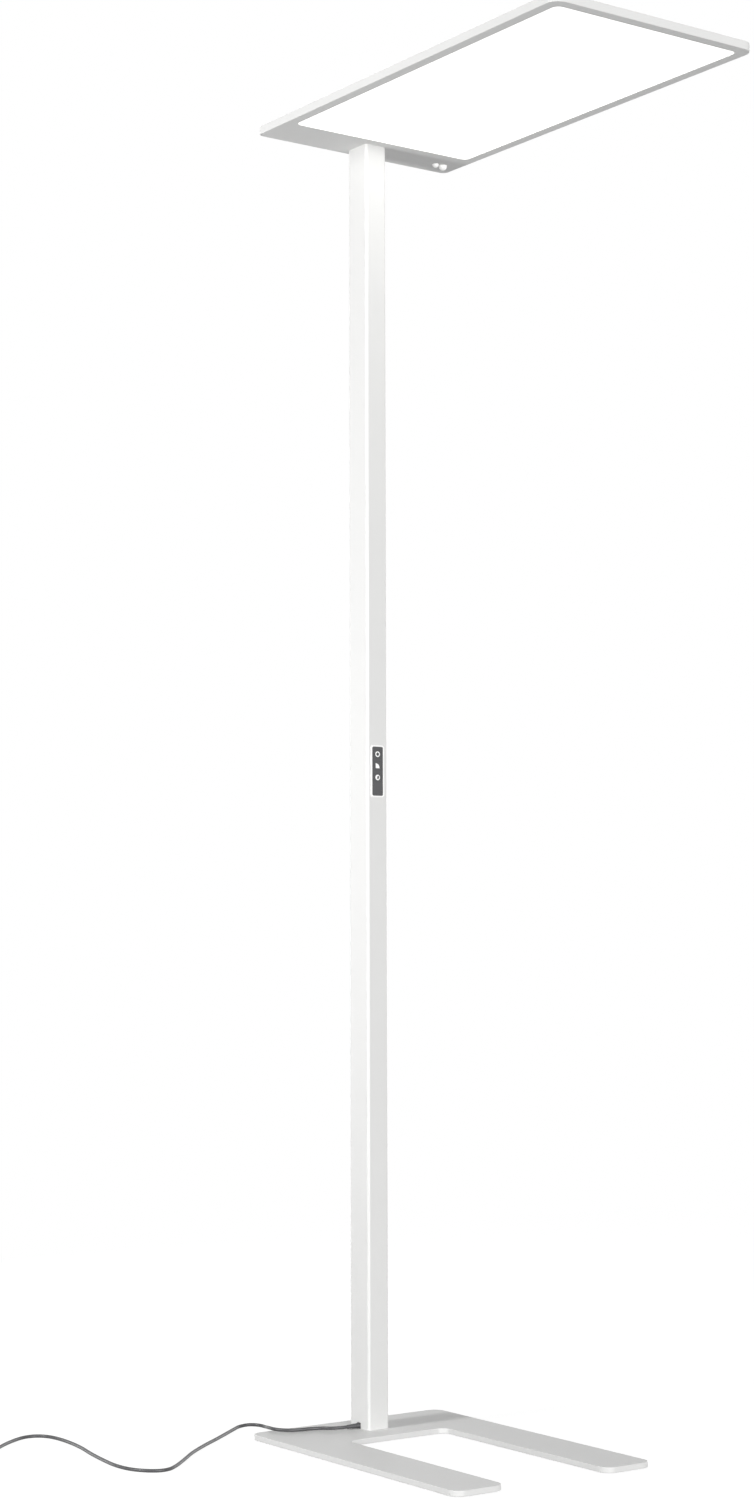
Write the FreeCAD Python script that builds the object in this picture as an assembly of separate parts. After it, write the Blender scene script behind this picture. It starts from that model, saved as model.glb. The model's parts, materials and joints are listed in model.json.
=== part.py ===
import FreeCAD, Part
import math
import os
from FreeCAD import Vector

# Office floor lamp: a flat light head on one slim post, with a forked floor plate.
# Millimetres, +Z up, floor at z = 0. The light head reaches towards -Y, the cord leaves on the -X side.
# Everything is modelled about the post's own axis, then moved back by post_y as it is written,
# so that the origin lies on the floor under the middle of the lamp's outline.

# Whole lamp
total_height = 1950.0
side_play = 0.3
thread_play = 0.1

# Floor plate
pad_height = 2.0
pad_radius = 11.0
pad_inset = 26.0
plate_width = 342.0
plate_length = 500.0
plate_thickness = 8.0
plate_behind_post = 62.0
leg_width = 84.0
slot_depth = 369.0
plate_corner = 18.0
slot_corner = 14.0
plate_rim = 1.0

# Post
post_width = 37.0
post_depth = 48.0
post_wall = 2.0
post_corner = 4.0

# Light head
head_thickness = 12.0
head_width = 352.0
head_length = 706.0
head_behind_post = 36.5
head_front_corner = 18.0
head_rear_corner = 10.0
head_rim = 0.8
border_width = 17.0
band_depth = 78.0
window_corner = 10.0
frame_wall = 2.0
frame_ledge = 2.5
frame_floor = 1.6
band_floor = 4.5
divider_wall = 2.0
divider_setback = 3.0
cover_thickness = 1.5
boss_size = 7.0
cover_screw_length = 6.0
cover_screw_from_side = 26.0
cover_screw_from_fitting = 14.0

# Light panel stack
diffuser_recess = 0.5
diffuser_flange = 1.5
diffuser_lap = 5.0
guide_thickness = 3.0
guide_lap = 4.5
guide_expansion = 1.0
mirror_thickness = 0.5
led_board_thickness = 1.2
led_board_height = 6.0
led_height = 0.8
led_length = 3.0
led_width = 1.4
led_count = 48
led_tail = 9.0
strip_width = 10.0
strip_count = 6
strip_margin = 20.0

# Motion sensor, daylight sensor and their board
motion_from_side = 29.0
sensor_pitch = 14.0
sensor_y = 2.5
motion_radius = 6.5
motion_reach = 7.5
daylight_radius = 5.0
daylight_reach = 5.5
dome_wall = 0.8
dome_flange = 1.0
dome_flange_width = 0.9
motion_can_radius = 4.0
motion_can_height = 4.0
daylight_chip = 3.0
daylight_chip_height = 1.0
sensor_board_gap = 2.5
sensor_board_left = 31.0
sensor_board_right = 17.0
sensor_board_depth = 26.0
sensor_post_radius = 3.0
sensor_post_inset = 4.0
board_thickness = 1.0
board_screw_length = 4.0

# Board that joins the driver's lead to the light strips and the sensors
junction_from_fitting = 14.0
junction_length = 46.5
junction_depth = 28.0
junction_socket_length = 16.0
junction_socket_depth = 14.0

# Post head fitting
fitting_width = 96.0
fitting_depth = 52.0
fitting_thickness = 3.5
fitting_length = 90.0
fitting_bore = 12.0
fitting_corner = 6.0
fitting_screw_inset = 8.0
fitting_screw_length = 7.0

# Foot block
foot_height = 80.0
foot_bolt_y = 14.0
foot_bolt_length = 36.0
saddle_height = 12.0
saddle_z = 54.0
saddle_thickness = 3.0
saddle_ear = 7.0
saddle_screw_length = 10.0
side_screw_height = 35.0
side_screw_from_top = 15.0
head_screw_heights = (65.0, 25.0)
relief_lip = 1.6

# Driver and its carrier
driver_width = 21.0
driver_depth = 30.0
driver_length = 280.0
driver_wall = 1.0
driver_lug = 12.0
driver_y = 5.0
carrier_thickness = 1.5
carrier_width = 20.0
carrier_tab = 14.0
carrier_gap = 16.0
terminal_width = 18.0
terminal_depth = 20.0
driver_board_width = 17.0
driver_board_margin = 2.0
driver_screw_length = 3.0
carrier_screw_length = 8.0
carrier_top_margin = 4.0
terminal_offset = 3.0
terminal_hole_radius = 1.5
terminal_hole_pitch = 9.0
terminal_hole_depth = 3.0
transformer_size = (15.0, 16.0, 24.0)
choke_size = (12.0, 12.0, 15.0)
choke_height = 25.0
can_radius = 6.0
can_length = 22.0
can_offsets = (-70.0, 45.0)

# Control panel
panel_height = 982.0
panel_length = 73.0
panel_width = 19.0
panel_thickness = 1.6
panel_corner = 1.5
bezel_rim = 2.5
bezel_proud = 0.8
panel_recess = 0.2
bezel_sleeve = 0.9
bezel_depth = 8.6
bezel_corner = 2.5
ledge_depth = 3.0
key_offset = 25.6
key_pitch = 17.5
key_size = 13.0
key_corner = 3.0
key_flange = 1.0
key_flange_width = 1.0
key_travel = 0.8
plunger_radius = 1.75
switch_size = 6.0
switch_height = 4.0
switch_play = 0.2
control_board_thickness = 1.2
socket_width = 10.0
socket_height = 8.0
socket_depth = 5.0
socket_above_end = 8.0
board_screw_inset = 1.9
hook_length = 6.0
hook_thickness = 1.5
hook_reach = 0.9
hook_offset = 20.0
plunger_tip_gap = 0.6
board_edge_play = 0.5

# Mains cord
cord_diameter = 5.0
cord_exit_z = 14.2
cord_exit_y = 1.0
notch_width = 8.6
notch_height = 8.6
relief_length = 21.5
relief_end_radius = 3.0
relief_neck_radius = 3.9
relief_root = 1.0
tail_bend = 13.0
tail_straight = 1.0
channel_width = 12.0
inner_lead_diameter = 5.0
control_lead_diameter = 3.0
thin_lead_diameter = 1.8
head_lead_x = -3.5
control_lead_x = 5.5
lead_bend = 12.0
control_lead_bend = 40.0
control_lead_fall = 70.0
control_lead_cross = 60.0
thin_lead_bend = 3.0
lead_spacing = 2.2
lead_step = 6.0
lead_run = 16.0
lead_end = 3.0

# Cord coil, its tie and the plug
coil_turns = 7.45
coil_mean_radius = 30.0
coil_pitch = 5.65
coil_layer = 5.5
coil_tail = 30.0
tie_turn = 0.2
tie_width = 12.0
tie_thickness = 1.0
tie_corner = 2.5
plug_length = 34.0
plug_width = 26.0
plug_thickness = 13.7
plug_corner = 5.0
plug_relief_length = 20.0
plug_neck_radius = 3.1
plug_root_radius = 4.6
plug_grip_share = 0.72
plug_rim = 1.2
pin_rim = 0.8
pin_radius = 2.0
pin_length = 19.0
pin_spacing = 18.6

# Screws
bolt_radius = 3.0
side_screw_radius = 2.0
small_screw_radius = 1.25
board_screw_radius = 1.0
side_screw_length = 10.0

# Free stretch of the cord: x from the post's axis, y behind it, z above the floor
cord_route = [
    (-40.0, 1.0, 14.2), (-61.0, 1.0, 14.2), (-88.0, 20.0, 13.2), (-112.0, 30.0, 13.2),
    (-131.0, 46.0, 13.6), (-137.0, 71.0, 13.4), (-131.0, 97.0, 9.2), (-105.0, 125.0, 5.2),
    (-107.0, 147.0, 3.2), (-123.0, 159.0, 2.8), (-143.5, 157.5, 2.75), (-163.0, 131.0, 2.75),
    (-201.0, 97.0, 2.75), (-244.0, 56.0, 2.75), (-288.0, 24.0, 2.75), (-328.0, -9.0, 2.75),
    (-358.0, -44.0, 2.75), (-380.0, -68.0, 2.75), (-411.0, -63.0, 2.75), (-428.0, -33.0, 2.75),
    (-432.0, 6.0, 2.75), (-425.0, 50.0, 2.75), (-412.0, 102.0, 2.75), (-398.0, 160.0, 2.75),
    (-394.0, 218.0, 2.75), (-404.0, 256.0, 2.75), (-434.0, 270.0, 2.75), (-465.0, 247.0, 3.0),
    (-499.0, 215.0, 4.1), (-531.0, 184.0, 4.1),
]

# Heights and edges that follow from the sizes above
plate_top = pad_height + plate_thickness
plate_rear = plate_behind_post
plate_front = plate_behind_post - plate_length
slot_half = plate_width / 2 - leg_width
slot_rear = plate_front + slot_depth
head_bottom = total_height - head_thickness
head_rear = head_behind_post
motion_x = head_width / 2 - motion_from_side
daylight_x = motion_x - sensor_pitch
sensor_board_x0 = motion_x - sensor_board_left
sensor_board_x1 = motion_x + sensor_board_right
junction_right = -fitting_width / 2 - junction_from_fitting
head_front = head_behind_post - head_length
post_y = (-head_front - plate_behind_post) / 2
bore_x = post_width / 2 - post_wall
bore_y = post_depth / 2 - post_wall
post_front = -post_depth / 2
post_back = post_depth / 2
foot_top = plate_top + foot_height
cord_radius = cord_diameter / 2

window_half = head_width / 2 - border_width
window_rear = head_rear - band_depth
window_front = head_front + border_width
cover_bottom = total_height - cover_thickness
inner_half = head_width / 2 - frame_wall - frame_ledge
inner_front = head_front + frame_wall + frame_ledge
inner_rear = head_rear - frame_wall - frame_ledge
panel_rear = window_rear + diffuser_lap + divider_setback
stack_floor = head_bottom + frame_floor
guide_bottom = stack_floor + diffuser_flange
guide_top = guide_bottom + guide_thickness
strips_bottom = guide_top + mirror_thickness
band_top = head_bottom + band_floor
led_face = inner_half - led_board_thickness - led_height
guide_half = led_face - side_play
guide_front = window_front - guide_lap
guide_rear = panel_rear - guide_expansion


def write(name, shape):
    moved = shape.copy()
    moved.translate(Vector(0, post_y, 0))
    moved.exportStep("parts/%s.step" % name)
    print("%-22s solids %2d  volume %.1f" % (name, len(moved.Solids), moved.Volume))


def block(x0, x1, y0, y1, z0, z1):
    return Part.makeBox(x1 - x0, y1 - y0, z1 - z0, Vector(x0, y0, z0))


def rounded_block(x0, x1, y0, y1, z0, z1, radius, axis=2):
    # a block whose four edges along one axis are rounded
    body = block(x0, x1, y0, y1, z0, z1)
    along = [e for e in body.Edges if abs(e.tangentAt(e.FirstParameter)[axis]) > 0.9]
    return body.makeFillet(radius, along)


def rod(radius, start, end):
    direction = end.sub(start)
    return Part.makeCylinder(radius, direction.Length, start, direction)


def edges_at_height(shape, height):
    return [e for e in shape.Edges if all(abs(v.Z - height) < 1e-6 for v in e.Vertexes)]


def screw(face_point, direction, radius, length, play=0.0):
    # countersunk screw whose head lies flush with the face that it enters
    inward = Vector(direction)
    inward.normalize()
    head_radius = 2 * radius + play
    head_depth = radius
    head = Part.makeCone(head_radius, radius + play, head_depth, face_point, inward)
    shank = rod(radius + play, face_point, face_point + inward * (length + play))
    return head.fuse(shank).removeSplitter()


def socket_screw(face_point, direction, radius, length):
    # the same screw with a hexagon socket in its head
    inward = Vector(direction)
    inward.normalize()
    corner = 0.6 * radius
    hexagon = Part.makeCylinder(corner, 0.6 * radius, face_point, inward)
    return screw(face_point, direction, radius, length).cut(hexagon)


def group(shapes):
    return Part.makeCompound(shapes)


def bent_path(points, radius=None):
    # straight runs joined by tangent arcs; with no radius each arc is as large as its two runs allow
    edges = []
    radii = []
    start = points[0]
    for before, corner, after in zip(points, points[1:], points[2:]):
        arriving = corner.sub(before)
        leaving = after.sub(corner)
        shorter = min(arriving.Length, leaving.Length)
        arriving.normalize()
        leaving.normalize()
        half_turn = arriving.getAngle(leaving) / 2
        bend = radius if radius else 0.45 * shorter / math.tan(half_turn)
        reach = bend * math.tan(half_turn)
        arc_start = corner - arriving * reach
        arc_end = corner + leaving * reach
        inward = leaving.sub(arriving)
        inward.normalize()
        middle = corner + inward * (bend / math.cos(half_turn) - bend)
        edges.append(Part.LineSegment(start, arc_start).toShape())
        edges.append(Part.Arc(arc_start, middle, arc_end).toShape())
        radii.append(bend)
        start = arc_end
    edges.append(Part.LineSegment(start, points[-1]).toShape())
    return Part.Wire(edges), radii


def tube(path, radius):
    first = path.OrderedEdges[0]
    start = first.valueAt(first.FirstParameter)
    heading = first.tangentAt(first.FirstParameter)
    ring = Part.Wire([Part.Circle(start, heading, radius).toShape()])
    return Part.Solid(path.makePipeShell([ring], True, False))


def floor_plate():
    body = rounded_block(-plate_width / 2, plate_width / 2, plate_front, plate_rear,
                         pad_height, plate_top, plate_corner)
    slot = block(-slot_half, slot_half, plate_front - 1, slot_rear, pad_height - 1, plate_top + 1)
    inner = [e for e in slot.Edges if abs(e.tangentAt(e.FirstParameter).z) > 0.9
             and abs(e.Vertexes[0].Y - slot_rear) < 1e-6]
    body = body.cut(slot.makeFillet(slot_corner, inner))
    tips = [e for e in body.Edges if abs(e.tangentAt(e.FirstParameter).z) > 0.9
            and abs(e.Vertexes[0].Y - plate_front) < 1e-6
            and abs(abs(e.Vertexes[0].X) - slot_half) < 1e-6]
    body = body.makeFillet(plate_corner, tips)
    rims = edges_at_height(body, plate_top) + edges_at_height(body, pad_height)
    body = body.makeFillet(plate_rim, rims)
    for side in (-1, 1):
        start = Vector(0, side * foot_bolt_y, pad_height)
        body = body.cut(screw(start, (0, 0, 1), bolt_radius, foot_bolt_length, thread_play))
    return body


def floor_pads():
    edge_x = plate_width / 2 - pad_inset
    leg_x = (plate_width / 2 + slot_half) / 2
    middle_y = (plate_front + plate_rear) / 2
    spots = [(edge_x, plate_rear - pad_inset), (leg_x, middle_y), (leg_x, plate_front + pad_inset)]
    return group([Part.makeCylinder(pad_radius, pad_height, Vector(side * x, y, 0))
                  for side in (-1, 1) for x, y in spots])


def foot_bolts():
    return group([socket_screw(Vector(0, side * foot_bolt_y, pad_height), (0, 0, 1), bolt_radius,
                               foot_bolt_length) for side in (-1, 1)])


# Cord channel inside the foot block, and the saddle that grips the cord there
relief_inner_x = -bore_x + relief_lip
tail_x = relief_inner_x + tail_straight + tail_bend
channel_end = tail_x + cord_radius + side_play
saddle_face = tail_x - cord_radius
pocket_floor = saddle_face - saddle_thickness
saddle_top_x = pocket_floor - saddle_thickness
saddle_half = channel_width / 2 + saddle_ear
saddle_screw_reach = channel_width / 2 + saddle_ear / 2
terminal_bottom = foot_top + carrier_gap
driver_bottom = terminal_bottom + driver_lug
driver_top = driver_bottom + driver_length
terminal_top = driver_top + driver_lug
driver_front = driver_y - driver_depth / 2
driver_back = driver_y + driver_depth / 2
carrier_back = driver_back + carrier_thickness
tab_y0 = carrier_back - carrier_tab
side_screws_foot = [plate_top + side_screw_height, foot_top - side_screw_from_top]
side_screws_head = [head_bottom - drop for drop in head_screw_heights]


def foot_block():
    body = rounded_block(-bore_x + side_play, bore_x - side_play, -bore_y + side_play,
                         bore_y - side_play, plate_top, foot_top, post_corner - post_wall)
    body = body.cut(block(-post_width, channel_end, cord_exit_y - channel_width / 2,
                          cord_exit_y + channel_width / 2, plate_top - 1, foot_top + 1))
    body = body.cut(block(-post_width, pocket_floor, cord_exit_y - saddle_half - side_play,
                          cord_exit_y + saddle_half + side_play,
                          saddle_z - saddle_height / 2 - side_play,
                          saddle_z + saddle_height / 2 + side_play))
    for side in (-1, 1):
        body = body.cut(screw(Vector(0, side * foot_bolt_y, pad_height), (0, 0, 1), bolt_radius,
                              foot_bolt_length, thread_play))
    for height in side_screws_foot:
        body = body.cut(screw(Vector(0, post_back, height), (0, -1, 0), side_screw_radius,
                              side_screw_length, thread_play))
    for screw_hole in saddle_screw_shapes(thread_play):
        body = body.cut(screw_hole)
    return body.cut(carrier_screw_shape(thread_play))


def saddle_screw_shapes(play=0.0):
    return [screw(Vector(saddle_top_x, cord_exit_y + side * saddle_screw_reach, saddle_z), (1, 0, 0),
                  small_screw_radius, saddle_screw_length, play) for side in (-1, 1)]


def cord_saddle():
    half = saddle_height / 2
    bar = block(saddle_top_x, pocket_floor, cord_exit_y - saddle_half, cord_exit_y + saddle_half,
                saddle_z - half, saddle_z + half)
    tongue = block(pocket_floor, saddle_face, cord_exit_y - channel_width / 2 + side_play,
                   cord_exit_y + channel_width / 2 - side_play, saddle_z - half, saddle_z + half)
    body = bar.fuse(tongue).removeSplitter()
    for screw_hole in saddle_screw_shapes(thread_play):
        body = body.cut(screw_hole)
    return body


def side_screws(heights):
    return group([socket_screw(Vector(0, post_back, height), (0, -1, 0), side_screw_radius,
                               side_screw_length) for height in heights])


def post():
    outer = rounded_block(-post_width / 2, post_width / 2, -post_depth / 2, post_depth / 2,
                          plate_top, head_bottom, post_corner)
    inner = rounded_block(-bore_x, bore_x, -bore_y, bore_y, plate_top - 1, head_bottom + 1,
                          post_corner - post_wall)
    body = outer.cut(inner)
    window_x = sleeve_half_width + side_play
    window_z = sleeve_half_length + side_play
    body = body.cut(rounded_block(-window_x, window_x, post_front - 1, post_front + post_wall + 1,
                                  panel_height - window_z, panel_height + window_z, bezel_corner, 1))
    body = body.cut(block(-post_width, -bore_x + 1, cord_exit_y - notch_width / 2,
                          cord_exit_y + notch_width / 2, plate_top - 1, plate_top + notch_height))
    for height in side_screws_foot + side_screws_head:
        body = body.cut(screw(Vector(0, post_back, height), (0, -1, 0), side_screw_radius,
                              side_screw_length, thread_play))
    return body


def cord_relief():
    # bush in the post's notch, a lip behind the wall and a tapered sleeve outside
    outside = -post_width / 2
    half = notch_width / 2 - side_play
    low = plate_top + side_play
    bush = block(outside - relief_root, -bore_x, cord_exit_y - half, cord_exit_y + half,
                 low, plate_top + notch_height - side_play)
    lip = block(-bore_x, relief_inner_x, cord_exit_y - channel_width / 2 + side_play,
                cord_exit_y + channel_width / 2 - side_play, low, plate_top + notch_height + relief_lip)
    sleeve = Part.makeCone(relief_neck_radius, relief_end_radius, relief_length - relief_root,
                           Vector(outside - relief_root, cord_exit_y, cord_exit_z), Vector(-1, 0, 0))
    return bush.fuse([lip, sleeve]).removeSplitter()


def mains_tail():
    # the cord's inner end: in from the notch, round one bend and up to the driver
    points = [Vector(relief_inner_x, cord_exit_y, cord_exit_z), Vector(tail_x, cord_exit_y, cord_exit_z),
              Vector(tail_x, cord_exit_y, terminal_bottom)]
    path, _ = bent_path(points, tail_bend)
    return tube(path, cord_radius)


def carrier_screw_shape(play=0.0, shape=screw):
    top = Vector(0, (tab_y0 + driver_back) / 2, foot_top + carrier_thickness)
    if shape is socket_screw:
        return socket_screw(top, (0, 0, -1), small_screw_radius, carrier_screw_length)
    return screw(top, (0, 0, -1), small_screw_radius, carrier_screw_length, play)


def driver_screw_spots():
    return [Vector(0, driver_back - driver_wall, terminal_bottom + driver_lug / 2),
            Vector(0, driver_back - driver_wall, terminal_top - driver_lug / 2)]


def driver_carrier():
    half = carrier_width / 2
    upright = block(-half, half, driver_back, carrier_back, foot_top, terminal_top + carrier_top_margin)
    tab = block(-half, half, tab_y0, driver_back, foot_top, foot_top + carrier_thickness)
    body = upright.fuse(tab).removeSplitter()
    body = body.cut(carrier_screw_shape(thread_play))
    for spot in driver_screw_spots():
        body = body.cut(screw(spot, (0, 1, 0), small_screw_radius, driver_screw_length, thread_play))
    return body


def driver_case():
    # slim metal channel, open to the front, with a lug at each end
    half = driver_width / 2
    shell = block(-half, half, driver_front + driver_wall, driver_back, driver_bottom, driver_top)
    hollow = block(-half + driver_wall, half - driver_wall, driver_front, driver_back - driver_wall,
                   driver_bottom + driver_wall, driver_top - driver_wall)
    lugs = [block(-half, half, driver_back - driver_wall, driver_back, low, low + driver_lug)
            for low in (terminal_bottom, driver_top)]
    body = shell.cut(hollow).fuse(lugs).removeSplitter()
    for spot in driver_screw_spots():
        body = body.cut(screw(spot, (0, 1, 0), small_screw_radius, driver_screw_length, thread_play))
    return body


def driver_lid():
    half = driver_width / 2
    return block(-half, half, driver_front, driver_front + driver_wall, driver_bottom, driver_top)


def driver_screws():
    length = driver_wall + carrier_thickness
    return group([socket_screw(spot, (0, 1, 0), small_screw_radius, length)
                  for spot in driver_screw_spots()])


def driver_board():
    # board against the case's back wall, on the insulating sheet's thickness
    half = driver_board_width / 2
    back = driver_back - driver_wall
    return block(-half, half, back - board_thickness, back,
                 driver_bottom + driver_wall + driver_board_margin,
                 driver_top - driver_wall - driver_board_margin)


def driver_components():
    # transformer, choke and two capacitors standing on the board's front face
    front = driver_back - driver_wall - board_thickness
    middle = (driver_bottom + driver_top) / 2
    blocks = []
    for (width, depth, length), low in ((transformer_size, middle - transformer_size[2] / 2),
                                        (choke_size, driver_bottom + choke_height)):
        blocks.append(block(-width / 2, width / 2, front - depth, front, low, low + length))
    cans = [Part.makeCylinder(can_radius, can_length, Vector(0, front - can_radius, middle + offset))
            for offset in can_offsets]
    return group(blocks + cans)


def terminal(low):
    front = driver_y - terminal_depth / 2 - terminal_offset
    middle = low + driver_lug / 2
    body = block(-terminal_width / 2, terminal_width / 2, front, front + terminal_depth,
                 low, low + driver_lug)
    for side in (-1, 1):
        x = side * terminal_hole_pitch / 2
        body = body.cut(rod(terminal_hole_radius, Vector(x, front - 1, middle),
                            Vector(x, front + terminal_hole_depth, middle)))
    return body


# Where the inner leads leave the driver and enter the light head
lead_level = band_top + inner_lead_diameter / 2 + side_play


def head_lead():
    points = [Vector(head_lead_x, driver_y, terminal_top), Vector(head_lead_x, driver_y, lead_level),
              Vector(junction_right, driver_y, lead_level)]
    path, _ = bent_path(points, lead_bend)
    return tube(path, inner_lead_diameter / 2)


def control_lead():
    # up behind the driver's terminal, then across to the socket on the control board
    socket_y = board_back + socket_depth / 2
    upper = socket_bottom - control_lead_fall
    points = [Vector(control_lead_x, 0, terminal_top),
              Vector(control_lead_x, 0, upper - control_lead_cross),
              Vector(0, socket_y, upper), Vector(0, socket_y, socket_bottom)]
    path, _ = bent_path(points, control_lead_bend)
    return tube(path, control_lead_diameter / 2)


# Control panel: depths run inwards from the post's front face
sleeve_half_width = panel_width / 2 + side_play + bezel_sleeve
sleeve_half_length = panel_length / 2 + side_play + bezel_sleeve
bezel_front = post_front - bezel_proud
plate_face = bezel_front + panel_recess
plate_back = plate_face + panel_thickness
flange_back = plate_back + key_flange
switch_front = flange_back + key_travel + switch_play
board_front = switch_front + switch_height
board_back = board_front + control_board_thickness
key_heights = [panel_height + key_offset - i * key_pitch for i in range(3)]
board_half_width = panel_width / 2 - side_play
board_half_length = panel_length / 2 - board_edge_play
socket_bottom = panel_height - panel_length / 2 + socket_above_end


def control_bezel():
    half_w = panel_width / 2 + bezel_rim
    half_l = panel_length / 2 + bezel_rim
    rim = rounded_block(-half_w, half_w, bezel_front, post_front, panel_height - half_l,
                        panel_height + half_l, bezel_corner, 1)
    sleeve = rounded_block(-sleeve_half_width, sleeve_half_width, post_front, post_front + bezel_depth,
                           panel_height - sleeve_half_length, panel_height + sleeve_half_length,
                           bezel_corner - side_play, 1)
    opening = rounded_block(-panel_width / 2 - side_play, panel_width / 2 + side_play,
                            bezel_front - 1, post_front + bezel_depth + 1,
                            panel_height - panel_length / 2 - side_play,
                            panel_height + panel_length / 2 + side_play, panel_corner, 1)
    body = rim.fuse(sleeve).cut(opening)
    # ledges that carry the face plate and the board at the top and bottom ends
    reach = panel_width / 2 + side_play + bezel_sleeve / 2
    for side in (-1, 1):
        ends = (panel_height + side * (panel_length / 2 + side_play + bezel_sleeve / 2),
                panel_height + side * (panel_length / 2 - ledge_depth))
        body = body.fuse(block(-reach, reach, plate_back, board_front, min(ends), max(ends)))
    # snap hooks behind the post's wall
    behind_wall = post_front + post_wall
    for side in (-1, 1):
        for height in (panel_height - hook_offset, panel_height + hook_offset):
            sides = (side * (sleeve_half_width - bezel_sleeve / 2),
                     side * (sleeve_half_width + side_play + hook_reach))
            body = body.fuse(block(min(sides), max(sides), behind_wall, behind_wall + hook_thickness,
                                   height - hook_length / 2, height + hook_length / 2))
    body = body.removeSplitter()
    for spot in control_screw_spots():
        body = body.cut(rod(board_screw_radius + thread_play, spot,
                            spot - Vector(0, board_screw_length + thread_play, 0)))
    return body


def control_screw_spots():
    reach = panel_length / 2 - board_screw_inset
    return [Vector(0, board_back, panel_height + side * reach) for side in (-1, 1)]


def control_faceplate():
    body = rounded_block(-panel_width / 2, panel_width / 2, plate_face, plate_back,
                         panel_height - panel_length / 2, panel_height + panel_length / 2,
                         panel_corner, 1)
    half = key_size / 2 + side_play
    for height in key_heights:
        body = body.cut(rounded_block(-half, half, plate_face - 1, plate_back + 1, height - half,
                                      height + half, key_corner + side_play, 1))
    return body


def key_cap(height):
    half = key_size / 2
    flange_half = half + key_flange_width
    cap = rounded_block(-half, half, plate_face, plate_back, height - half, height + half, key_corner, 1)
    flange = rounded_block(-flange_half, flange_half, plate_back, flange_back, height - flange_half,
                           height + flange_half, key_corner, 1)
    return cap.fuse(flange).removeSplitter()


def key_plunger(height):
    return rod(plunger_radius, Vector(0, flange_back, height),
               Vector(0, board_front - key_travel - plunger_tip_gap, height))


def switch_housings():
    half = switch_size / 2
    housings = []
    for height in key_heights:
        housing = block(-half, half, switch_front, board_front, height - half, height + half)
        housings.append(housing.cut(rod(plunger_radius + thread_play, Vector(0, switch_front - 1, height),
                                        Vector(0, board_front - plunger_tip_gap, height))))
    return group(housings)


def control_board():
    body = block(-board_half_width, board_half_width, board_front, board_back,
                 panel_height - board_half_length, panel_height + board_half_length)
    for spot in control_screw_spots():
        body = body.cut(rod(board_screw_radius + thread_play, spot + Vector(0, 1, 0),
                            spot - Vector(0, board_screw_length, 0)))
    return body


def pan_screw(spot, direction, radius, length):
    inward = Vector(direction)
    inward.normalize()
    top = spot - inward * radius
    head = rod(1.8 * radius, top, spot)
    shank = rod(radius, spot, spot + inward * length)
    recess = rod(0.8 * radius, top, top + inward * (radius / 2))
    return head.fuse(shank).removeSplitter().cut(recess)


def control_screws():
    return group([pan_screw(spot, (0, -1, 0), board_screw_radius, board_screw_length)
                  for spot in control_screw_spots()])


def control_socket():
    return block(-socket_width / 2, socket_width / 2, board_back, board_back + socket_depth,
                 socket_bottom, socket_bottom + socket_height)


def head_outline(inset, z0, z1):
    # the head's outline, drawn in by an inset, with its own front and rear corner radii
    body = block(-head_width / 2 + inset, head_width / 2 - inset, head_front + inset,
                 head_rear - inset, z0, z1)
    upright = [e for e in body.Edges if abs(e.tangentAt(e.FirstParameter).z) > 0.9]
    front = [e for e in upright if e.Vertexes[0].Y < 0]
    body = body.makeFillet(head_front_corner - inset, front)
    rear = [e for e in body.Edges if abs(e.tangentAt(e.FirstParameter).z) > 0.9
            and abs(e.Vertexes[0].Y - head_rear + inset) < 1e-6
            and abs(e.Vertexes[1].Y - head_rear + inset) < 1e-6]
    return body.makeFillet(max(head_rear_corner - inset, 1.0), rear)


def cover_screw_spots():
    rear_y = inner_rear - boss_size / 2
    front_y = inner_front + boss_size / 2
    outer_x = head_width / 2 - cover_screw_from_side
    inner_x = fitting_width / 2 + cover_screw_from_fitting
    return [Vector(side * x, y, total_height) for side in (-1, 1)
            for y in (rear_y, front_y) for x in (outer_x, inner_x)]


def fitting_screw_spots():
    x = fitting_width / 2 - fitting_screw_inset
    y = fitting_depth / 2 - fitting_screw_inset
    top = band_top + fitting_thickness
    return [Vector(side_x * x, side_y * y, top) for side_x in (-1, 1) for side_y in (-1, 1)]


def sensor_post_spots():
    y = sensor_y + sensor_board_depth / 2 - sensor_post_inset
    return [Vector(x, y, band_top + sensor_board_gap + board_thickness)
            for x in (sensor_board_x0 + sensor_post_inset, sensor_board_x1 - sensor_post_inset)]


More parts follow.
